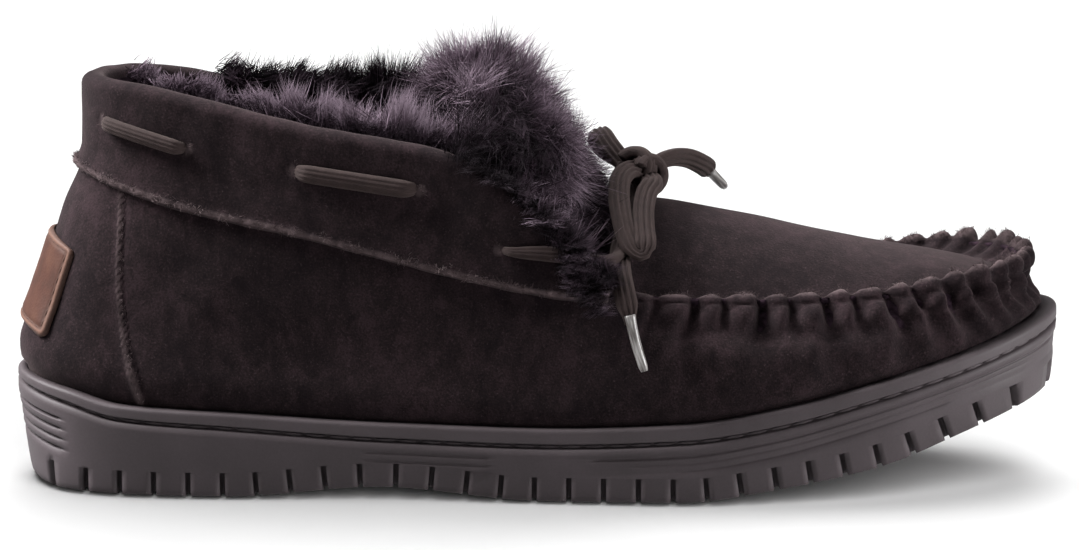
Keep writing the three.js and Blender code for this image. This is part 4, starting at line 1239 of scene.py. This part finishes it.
def makePatchStitches(over, width, tall):
    # spindles along the grid lines nearest to the seam's distance from each edge
    def nearest(fromEdge):
        return np.argmin(np.abs(fromEdge - patch["seamInset"]))

    column = [nearest(width), nearest(width[-1] - width)]
    row = [nearest(tall), nearest(tall[-1] - tall)]
    lines = [over[row[0], column[0]:column[1]], over[row[0]:row[1], column[1]],
             over[row[1], column[1]:column[0]:-1], over[row[1]:row[0]:-1, column[0]]]
    out = gridNormals(over)[len(tall) // 2, len(width) // 2]
    centres, ways = [], []
    for line in lines:
        stops = resampled(line, patchStitch["pitch"])
        centres.append((stops[1:] + stops[:-1]) / 2)
        ways.append(unit(np.diff(stops, axis=0)))
    centres, ways = np.vstack(centres), np.vstack(ways)
    outs = unit(out - ways * (ways @ out)[:, None])
    points, faces = spindles(centres, ways, outs, patchStitch)
    marks = {"edge": np.full(len(points), 0.55)}
    makePiece("heel_patch_stitching", points, faces, leather, marks=marks)


makePatch()
print("patch sewn")


# Inside: sheepskin lining, footbed and tongue

inside = {
    "inset": 4.6, "rows": 22, "columns": 180, "skin": 1.0, "footRise": 0.02, "collarRise": 0.96,
    "plugRise": 0.86, "footbedInset": 12.1, "footbedHeight": 4, "dome": 1.6, "acrossFootbed": 10,
}


def liningGrid(rows, columns, inset):
    # the wall's function drawn in by inset, from the cup up to under the collar's fold
    turn = np.linspace(0, 2 * pi, columns, endpoint=False)
    share = np.linspace(0, 1, rows)[:, None]
    station = stationOf(turn)
    topRise = np.where(station < stationOf(throatTurn), inside["collarRise"], inside["plugRise"])
    return wallPoint(turn[None, :], mix(inside["footRise"], topRise, share), inset)


def makeLining():
    # the lining's grid, closed round the foot and given its thickness
    points = liningGrid(inside["rows"], inside["columns"], inside["inset"])
    faces = [gridFaces(idsOf(points), closed=True)]
    thicken(makePiece("sheepskin_lining", points.reshape(-1, 3), faces, skinBack), inside["skin"])


def footbedRing(inset, lift):
    # the sole's outline drawn in to the footbed's edge and by inset, at a lift above the cup's floor
    turn = np.linspace(0, 2 * pi, 120, endpoint=False)
    station = stationOf(turn)
    plan = soleOutline(turn, inside["footbedInset"] + inset)
    return lifted(plan, soleAt("floor", station) + sole["fitGap"] + lift)


def makeFootbed():
    # rings drawn in step by step from the rim, rising to a low dome, closed across the middle
    high, dome = inside["footbedHeight"], inside["dome"]
    lifts = [(0, 0), (0, 2.6), (0.6, 3.6), (2, high), (6, high + 0.4 * dome), (14, high + dome)]
    rings = np.stack([footbedRing(inset, lift) for inset, lift in lifts])
    ids = idsOf(rings)
    points, faces, count = [rings.reshape(-1, 3)], [gridFaces(ids, closed=True)], ids.size
    for ring, faceDown in ((0, True), (-1, False)):
        across, blocks, count = lidAcross(rings[ring], ids[ring], count, inside["acrossFootbed"], faceDown)
        points.append(across)
        faces += blocks
    makePiece("footbed", np.vstack(points), faces, skinBack, ["insole"])


tongueSections = columnsOf("x z halfThick halfWidth drape", [
    (13.3, 68, 4.5, 22, 13), (10.6, 75, 9, 27, 15), (4, 85.5, 13.2, 31, 14), (-5, 97, 16.4, 33, 8),
    (-13, 107.5, 17.5, 34, 5), (-19, 116.5, 14, 29, 3), (-22, 121.5, 8.5, 21, 1.5), (-23.5, 124.5, 0.4, 1, 0),
])
tongueSections["place"] = np.arange(8.0)  # rows counted from the throat to the fold's top
tongue = {"rows": 60, "sides": 96, "shrink": 2.8, "settle": 4.5, "rough": 0.9}


def tongueGrid(rows, sides, shrink):
    # ovals square to the fold's line: halfThick across the fold, halfWidth sideways, sides hanging by drape
    place = np.linspace(0, tongueSections["place"][-1], rows)[:, None]
    angle = np.linspace(0, 2 * pi, sides, endpoint=False)[None, :]
    names = ("x", "z", "halfThick", "halfWidth", "drape")
    at = {name: along(tongueSections, "place", name, place) for name in names}
    line = unit(np.stack([np.gradient(at["x"][:, 0]), np.gradient(at["z"][:, 0])], -1))
    reach = np.maximum(at["halfThick"] - shrink, 0.2) * np.cos(angle)
    x = at["x"] + line[:, 1:] * reach
    y = np.maximum(at["halfWidth"] - shrink, 0.4) * np.sin(angle)
    z = at["z"] - line[:, :1] * reach - at["drape"] * np.sin(angle) ** 2
    z = z - tongue["settle"] * smooth(88, 122, z)
    return np.stack([x, np.broadcast_to(y, x.shape), z], -1)


def makeTongue():
    # the tongue's grid, uneven square to itself apart from its end rings, with both ends closed
    even = tongueGrid(tongue["rows"], tongue["sides"], tongue["shrink"])
    rings = even + gridNormals(even) * (tongue["rough"] * uneven(even, 9, 17))[..., None]
    rings[0], rings[-1] = even[0], even[-1]
    ids = idsOf(rings)
    points = np.vstack([rings.reshape(-1, 3), rings[0].mean(0)[None], rings[-1].mean(0)[None]])
    faces = [gridFaces(ids, closed=True), *endFans(ids)]
    piece = makePiece("tongue_skin", points, faces, skinBack, ["tongue"])


makeLining()
makeFootbed()
makeTongue()
print("inside lined")


# Fur: tapered strands in tufts, joined in a few meshes

strandPlaces = np.array([0, 0.36, 0.72, 1.0])  # shares of a strand's length, root to tip


def scattered(points, normals, density, count, rng):
    # random places on a grid surface, cells chosen by area times density, then a place inside the cell
    corner = points[:-1, :-1]
    area = np.linalg.norm(np.cross(points[1:, :-1] - corner, points[:-1, 1:] - corner), axis=-1)
    weight = (area * density[:-1, :-1]).ravel()
    cell = rng.choice(weight.size, count, p=weight / weight.sum())
    i, j = np.divmod(cell, points.shape[1] - 1)
    u, v = rng.random((2, count, 1))

    def at(field):
        low = mix(field[i, j], field[i, j + 1], u)
        return mix(low, mix(field[i + 1, j], field[i + 1, j + 1], u), v)

    return at(points), unit(at(normals))


def strandLine(root, way, bend, length):
    # root + length * (way * t + bend * t^2) at four places along the strand
    t = strandPlaces[None, :, None]
    return root[:, None] + length[:, None, None] * (way[:, None] * t + bend[:, None] * t * t)


def turnedOut(vectors, outs, least):
    # adds as much of outs as lifts each vector's share along it to the least allowed
    return vectors + outs * np.clip(least - (vectors * outs).sum(1, keepdims=True), 0, None)


def paintedFurShade(roots):
    # painted shade in the hollow beside the fold and low down at the throat, painted light on the fold's
    # crest and front
    x, y, z = roots.T
    near = 1 - smooth(-10, 6, y)
    # painted shade where the fold's hollow and the low fur at the throat would be shaded; painted light on
    # the crest
    hollow = bump(x + 14, 11) * bump(z - 96, 11) * near
    low = (1 - smooth(68, 96, z)) * smooth(-30, -10, x)
    paintedCrestLight = smooth(104, 114, z) + smooth(-4, 6, x) * smooth(80, 92, z)
    return 0.2 * np.clip(paintedCrestLight, 0, 1) - 1.1 * hollow - 0.34 * low


def makeFur(name, surface, density, flowOf, look, material, seed, growOf=None, paintedLightShift=0.0):
    # tufts on the surface; each strand starts beside its tuft's root, follows the flow, leans to its tuft,
    # and never turns back into the skin
    rng = np.random.default_rng(seed)
    points, normals = surface
    roots, outs = scattered(points, normals, density(points), look["tufts"], rng)
    swirl = np.stack([uneven(roots, look["lock"], seed * 10 + k) for k in range(3)], -1)
    flow = flowOf(roots, outs) + look["swirl"] * swirl
    stray = rng.normal(size=(look["tufts"], 3))
    ways = unit(outs * look["stand"] + 0.5 * flow + look["tuftMess"] * stray)
    bends = look["bend"] * (unit(flow + 0.4 * stray) - ways * 0.5) + np.array([0, 0, -look["sag"]])
    ways, bends = turnedOut(ways, outs, 0.3), turnedOut(bends, outs, -0.2)
    lengths = look["length"] * rng.uniform(0.8, 1.2, look["tufts"])
    lengths = lengths * (1 + 0.3 * uneven(roots, look["lock"], seed + 90))
    if growOf:
        lengths = lengths * growOf(roots)
    # each tuft's shade: a random tone, plus painted light and painted shade for the whole piece and for the
    # fold's hollow, the low fur and the crest
    tuftShadesAndPaintedLight = 0.58 + paintedLightShift + paintedFurShade(roots) + 0.42 * uneven(roots, look["lock"], seed + 50)
    tuftShadesAndPaintedLight = np.clip(tuftShadesAndPaintedLight + 0.12 * rng.normal(size=look["tufts"]), 0, 1)
    tuftLines = strandLine(roots, ways, bends, lengths)
    own = rng.integers(0, look["tufts"], look["strands"])
    spread = rng.normal(size=(look["strands"], 3)) * look["radius"] * 0.6
    spread -= outs[own] * (spread * outs[own]).sum(1, keepdims=True)
    way = unit(ways[own] + look["mess"] * rng.normal(size=(look["strands"], 3)))
    length = lengths[own] * rng.uniform(0.6, 1.1, look["strands"])
    bend = bends[own] + look["curl"] * np.clip(rng.normal(size=(look["strands"], 3)), -1.7, 1.7)
    way, bend = turnedOut(way, outs[own], 0.15), turnedOut(bend, outs[own], -0.2)
    lines = strandLine(roots[own] + spread, way, bend, length)
    pull = look["clump"] * np.array([0, 0.3, 0.7, 0.9])[None, :, None]
    lines = mix(lines, tuftLines[own], pull * rng.uniform(0.5, 1.0, (look["strands"], 1, 1)))
    tangent = unit(np.gradient(lines, axis=1))
    facing = unit(outs[own] + 0.3 * rng.normal(size=(look["strands"], 3)))
    across = unit(np.cross(tangent, facing[:, None]))
    wide = look["width"] / 2 * np.array([1.0, 0.8, 0.5])[None, :, None]
    body = lines[:, :3]
    strand = np.concatenate([body - across[:, :3] * wide, body + across[:, :3] * wide, lines[:, 3:]], 1)
    start = 7 * np.arange(look["strands"])[:, None, None]  # two edges of three points each, and a tip
    quads = (start + np.array([[0, 3, 4, 1], [1, 4, 5, 2]])).reshape(-1, 4)
    tipsOf = (start + np.array([[2, 5, 6]])).reshape(-1, 3)
    pile = np.broadcast_to(np.concatenate([strandPlaces[:3], strandPlaces]), (look["strands"], 7))
    shade = np.repeat(tuftShadesAndPaintedLight[own] * 0.85 + 0.15 * rng.random(look["strands"]), 7)
    marks = {"pile": pile, "tuft": shade}
    makePiece(name, strand.reshape(-1, 3), [quads, tipsOf], material, marks=marks)


tongueFur = {
    "tufts": 1500, "strands": 37000, "length": 7.6, "stand": 0.75, "tuftMess": 0.35, "mess": 0.42,
    "bend": 1.0, "sag": 0.05, "radius": 2.8, "clump": 0.7, "width": 0.19, "lock": 13, "swirl": 1.0,
    "curl": 0.65,
}
liningFur = {
    "tufts": 1300, "strands": 20000, "length": 8, "stand": 0.8, "tuftMess": 0.3, "mess": 0.35,
    "bend": 0.7, "sag": 0.02, "radius": 2.8, "clump": 0.65, "width": 0.28, "lock": 14, "swirl": 0.8,
    "curl": 0.3,
}
fringeFur = {
    "tufts": 320, "strands": 8000, "length": 7.5, "stand": 0.4, "tuftMess": 0.3, "mess": 0.24,
    "bend": 0.9, "sag": 0.0, "radius": 2.6, "clump": 0.8, "width": 0.24, "lock": 12, "swirl": 0.9,
    "curl": 0.3,
}
throatFur = {
    "tufts": 240, "strands": 7000, "length": 6, "stand": 0.6, "tuftMess": 0.3, "mess": 0.25,
    "bend": 0.8, "sag": 0.1, "radius": 2.4, "clump": 0.85, "width": 0.2, "lock": 12, "swirl": 0.8,
    "curl": 0.3,
}
spillFur = {
    "tufts": 460, "strands": 10500, "length": 7.4, "stand": 0.5, "tuftMess": 0.3, "mess": 0.25,
    "bend": 0.8, "sag": 0.2, "radius": 2.4, "clump": 0.85, "width": 0.2, "lock": 12, "swirl": 0.8,
    "curl": 0.3,
}
footbedFur = {
    "tufts": 1100, "strands": 4000, "length": 6, "stand": 1.0, "tuftMess": 0.5, "mess": 0.3,
    "bend": 0.4, "sag": 0.1, "radius": 2.4, "clump": 0.5, "width": 0.42, "lock": 14, "swirl": 0.4,
    "curl": 0.3,
}
seamFuzz = {
    "tufts": 2600, "strands": 3200, "length": 1.0, "stand": 0.7, "tuftMess": 0.6, "mess": 0.5,
    "bend": 0.6, "sag": 0.0, "radius": 0.5, "clump": 0.1, "width": 0.14, "lock": 8, "swirl": 0.5,
    "curl": 0.5,
}
fuzzAmount = {"counter": {"tufts": 700, "strands": 800, "length": 0.7}}  # the panel seam is cleaner
fringeStrip = {"end": -0.18, "inside": -6.0, "outer": (-0.93, -5.5, 1.5), "inner": (-0.74, -2.6, 1.8)}
throatStrip = {"edge": 19, "depths": (8, 0.5), "low": 61.5, "crown": 19.5, "slope": 0.25, "halfWidth": 37}
spillStrip = {"ends": (-0.24, 0.09), "proud": (2.2, 5.4), "inside": -6.5, "hang": 12, "under": 0.6}


def everywhere(way, points):
    # one direction repeated at every point
    return np.broadcast_to(np.array(way, float), points.shape)


def evenly(points):
    # the same density all over
    return np.ones(points.shape[:2])


def tongueFlow(roots, outs):
    # upward at the crest, down, outward and forward lower on the fold
    up = mix(-0.75, 0.5, smooth(84, 116, roots[:, 2]))
    forward = 0.5 * np.clip(outs[:, 0], 0, 1) * (1 - smooth(84, 100, roots[:, 2]))
    return np.stack([forward, 0.25 * outs[:, 1], up], -1)


def collarStation(points):
    # the station that a place along the shoe has on the top outline
    return np.clip((points[..., 0] - top["back"]) / (top["front"] - top["back"]) * 2 - 1, -1, 1)


def liningFlow(roots, outs):
    # up along the wall towards the collar, more so toward the front
    up = 0.1 + 0.9 * smooth(-0.8, -0.4, collarStation(roots))
    return np.stack([np.zeros(len(roots)), np.zeros(len(roots)), up], -1)


def liningDensity(points):
    # dense near the collar, but starting lower at the back, where the suede's fold shows; none in the toe
    station = collarStation(points)
    below = topAt("height", station) - points[..., 2]
    margin = mix(13, 4, smooth(-0.85, -0.5, station))
    near = smooth(margin - 1, margin + 1, below) * (0.12 + 0.88 * bump(below, 45))
    return near * (1 - smooth(0, 26, points[..., 0])) + 1e-6


def liningGrow(roots):
    # shorter at the back of the collar
    return mix(0.7, 1.35, smooth(-0.8, -0.35, collarStation(roots)))


def spillFlow(roots, outs):
    # over the collar's edge, outward and down
    return np.stack([np.full(len(roots), 0.2), 0.7 * np.sign(roots[:, 1]), np.full(len(roots), -0.4)], -1)


def spillDensity(points):
    # thicker toward the throat, in two steps
    return 0.4 + smooth(-30, 5, points[..., 0]) + smooth(2, 9, points[..., 0])


def spillGrow(roots):
    # shorter low down
    return mix(0.6, 1.0, smooth(66, 84, roots[:, 2]))


def fuzzFlow(roots, outs):
    # straight out
    return outs * 0.3


def footbedFlow(roots, outs):
    # toward the heel
    return everywhere((-0.4, 0, 0.1), roots)


def footbedDensity(points):
    # thick where the collar's opening shows the footbed, thin in the toe
    return 0.05 + (1 - smooth(-20, 30, points[..., 0]))


def fringeFlow(roots, outs):
    # standing up from inside the collar's fold
    return everywhere((0.45, 0, 0.9), roots)


def fringeGrow(roots):
    # longer from the back of the collar to the ankle
    return mix(0.45, 1.35, smooth(-0.85, -0.3, collarStation(roots)))


def fringeSurface(side):
    # a strip just inside the fold, up to the tongue; the outer one starts further back and reaches lower
    start, low, high = fringeStrip["outer" if side < 0 else "inner"]
    station = np.linspace(start, fringeStrip["end"], 90)
    z = topAt("height", station) + np.linspace(low, high, 7)[:, None]
    offsets = np.full(z.shape, fringeStrip["inside"])
    return proudPoint(np.broadcast_to(turnOf(station, side), z.shape), z, offsets)


def throatSurface():
    # a strip behind the plug's rear edge, following its crown
    across = np.linspace(-1, 1, 60)
    x = throatStrip["edge"] - np.linspace(*throatStrip["depths"], 8)[:, None] + 0 * across
    crown = throatStrip["low"] + throatStrip["crown"] * (1 - across ** 2)
    z = crown - throatStrip["slope"] * (throatStrip["edge"] - x)
    return np.stack([x, np.broadcast_to(throatStrip["halfWidth"] * across, x.shape), z], -1)


def throatFlow(roots, outs):
    # forward over the edge, a little upward, and out to both sides
    return np.stack([np.full(len(roots), 0.6), 0.012 * roots[:, 1], np.full(len(roots), 0.1)], -1)


def spillSurface(side):
    # a strip over the collar's fold in front of the ankle, hanging lower on the outside toward the throat
    station = np.linspace(*spillStrip["ends"], 90)
    across = np.linspace(0, 1, 22)[:, None]
    proud = mix(*spillStrip["proud"], smooth(-0.03, 0.03, station))
    offsets = mix(proud, spillStrip["inside"], smooth(0.5, 1.0, across))
    hang = spillStrip["hang"] * smooth(-0.07, 0.05, station) * (1 - smooth(0.0, 0.55, across))
    z = topAt("height", station) - spillStrip["under"] - hang
    return proudPoint(np.broadcast_to(turnOf(station, side), z.shape), z, offsets)


def footbedGrid():
    # straight rows across the footbed between its two sides
    ring = footbedRing(1.5, inside["footbedHeight"] + 0.6)
    half = len(ring) // 2
    near, far = ring[1:half], ring[:half:-1]
    return near[:, None] + (far - near)[:, None] * np.linspace(0, 1, 16)[:, None]


def makeAllFur():
    # every patch of fur: its surface with the way out of it, then how thick, which way and how long it grows
    grid = tongueGrid(70, 97, tongue["shrink"])
    grid = np.concatenate([grid, grid[:, :1]], 1)
    makeFur("tongue_fur", (grid, gridNormals(grid)), evenly, tongueFlow, tongueFur, longPile, 7)
    grid = liningGrid(70, 240, inside["inset"] + inside["skin"])
    grid = np.concatenate([grid, grid[:, :1]], 1)
    # 0.6: painted light, lifting the lining wool that lies in shade
    makeFur("lining_fur", (grid, -gridNormals(grid)), liningDensity, liningFlow, liningFur, shortPile, 8,
            liningGrow, 0.6)
    for sideName, side, seed in (("outer", -1, 9), ("inner", 1, 10)):
        # the last numbers are painted light and painted shade: 0.2 lightens the spill fur, 0.8 lightens the
        # near, outer fringe and -0.45 darkens the far, inner fringe
        strip = spillSurface(side)
        makeFur(f"spill_fur_{sideName}", (strip, everywhere((0, 0, 1), strip)), spillDensity, spillFlow,
                spillFur, longPile, seed, spillGrow, 0.2)
        strip = fringeSurface(side)
        makeFur(f"fringe_fur_{sideName}", (strip, everywhere((0, -side, 0), strip)), evenly, fringeFlow,
                fringeFur, longPile, seed + 20, fringeGrow, -0.45 if side > 0 else 0.8)
    strip = throatSurface()
    outOf = everywhere(unit(np.array([0.4, 0, 1.0])), strip)
    makeFur("throat_fur", (strip, outOf), evenly, throatFlow, throatFur, longPile, 15)
    grid = footbedGrid()
    makeFur("footbed_fur", (grid, everywhere((0, 0, 1), grid)), footbedDensity, footbedFlow, footbedFur,
            shortPile, 12)


makeAllFur()
for seed, (name, grid, edges) in enumerate([*upperEdges, collarEdge], 60):
    makeFur(f"fuzz_{name}", (grid, gridNormals(grid)), lambda p, edges=edges: edges ** 2 + 1e-9, fuzzFlow,
            {**seamFuzz, **fuzzAmount.get(name, {})}, fuzz, seed)
print("fur grown")


# Studio: white floor and soft light

studio = {"floorSize": 40, "skyTop": 0.45, "skyLow": 0.1, "skyFront": 0.15}
lights = {  # place, what it faces, size, watts, and the floor: lit too, left out, or lit alone
    "overhead": ((-0.15, 0.5, 1.5), (0, 0.1, 0), 1.9, 23, "lit"),
    "left": ((-1.2, 0.03, 1.15), (-0.1, 0, 0.06), 0.8, 104, "left out"),
    "right": ((1.35, -0.3, 0.32), (0.1, 0, 0.04), 0.7, 31, "left out"),
    "shoeTop": ((-0.55, 0.3, 1.3), (0.05, 0, 0.06), 1.2, 18, "left out"),
    "frontWash": ((0.3, -1.2, 0.7), (0.05, -0.05, 0), 1.4, 29, "alone"),
    "floorTop": ((0.1, 0.4, 1.4), (0.03, 0, 0), 0.8, 3.5, "alone"),
    "backWash": ((0.0, 1.7, 1.5), (0.0, 1.9, 0), 1.6, 24, "alone"),
}


def makeStudio():
    # a square floor, round lamps turned to their aims, and a sky that grows brighter upwards and dimmer in
    # front; the camera itself sees plain white
    half = studio["floorSize"] / 2
    corners = [(-half, -half, 0), (half, -half, 0), (half, half, 0), (-half, half, 0)]
    mesh = bpy.data.meshes.new("studioFloor")
    mesh.from_pydata(corners, [], [(0, 1, 2, 3)])
    mesh.materials.append(paintedFloor())
    floor = bpy.data.objects.new("studioFloor", mesh)
    scene.collection.objects.link(floor)
    for name, (place, aim, size, watts, onFloor) in lights.items():
        lamp = bpy.data.lights.new(name, "AREA")
        lamp.shape = "DISK"
        lamp.size = size
        lamp.energy = watts
        lampObject = bpy.data.objects.new(name, lamp)
        lampObject.location = place
        lampObject.rotation_euler = (Vector(aim) - Vector(place)).to_track_quat("-Z", "Y").to_euler()
        scene.collection.objects.link(lampObject)
        if onFloor != "lit":
            reached = bpy.data.collections.new(f"{name}Reach")
            reached.objects.link(floor)
            linking = reached.collection_objects[0].light_linking
            linking.link_state = "INCLUDE" if onFloor == "alone" else "EXCLUDE"
            lampObject.light_linking.receiver_collection = reached
    world = bpy.data.worlds.new("studioSky")
    world.use_nodes = True
    tree = world.node_tree
    sky = tree.nodes["Background"]
    way = addNode(tree, "ShaderNodeTexCoord").outputs["Generated"]
    split = addNode(tree, "ShaderNodeSeparateXYZ", {0: way})
    glow = addNode(tree, "ShaderNodeMapRange", {
        0: split.outputs[2], 1: -0.1, 2: 0.9, 3: studio["skyLow"], 4: studio["skyTop"]})
    front = addNode(tree, "ShaderNodeMapRange", {
        0: split.outputs[1], 1: -0.7, 2: 0.3, 3: studio["skyFront"], 4: 1.0})
    around = addNode(tree, "ShaderNodeMath", {0: glow.outputs[0], 1: front.outputs[0]},
                     operation="MULTIPLY")
    ray = addNode(tree, "ShaderNodeLightPath").outputs["Is Camera Ray"]
    seen = addNode(tree, "ShaderNodeMix", {0: ray, 2: around.outputs[0], 3: 1.0})
    tree.links.new(seen.outputs[0], sky.inputs["Strength"])
    scene.world = world
    scene.view_settings.view_transform = "Standard"


makeStudio()
print("studio lit")
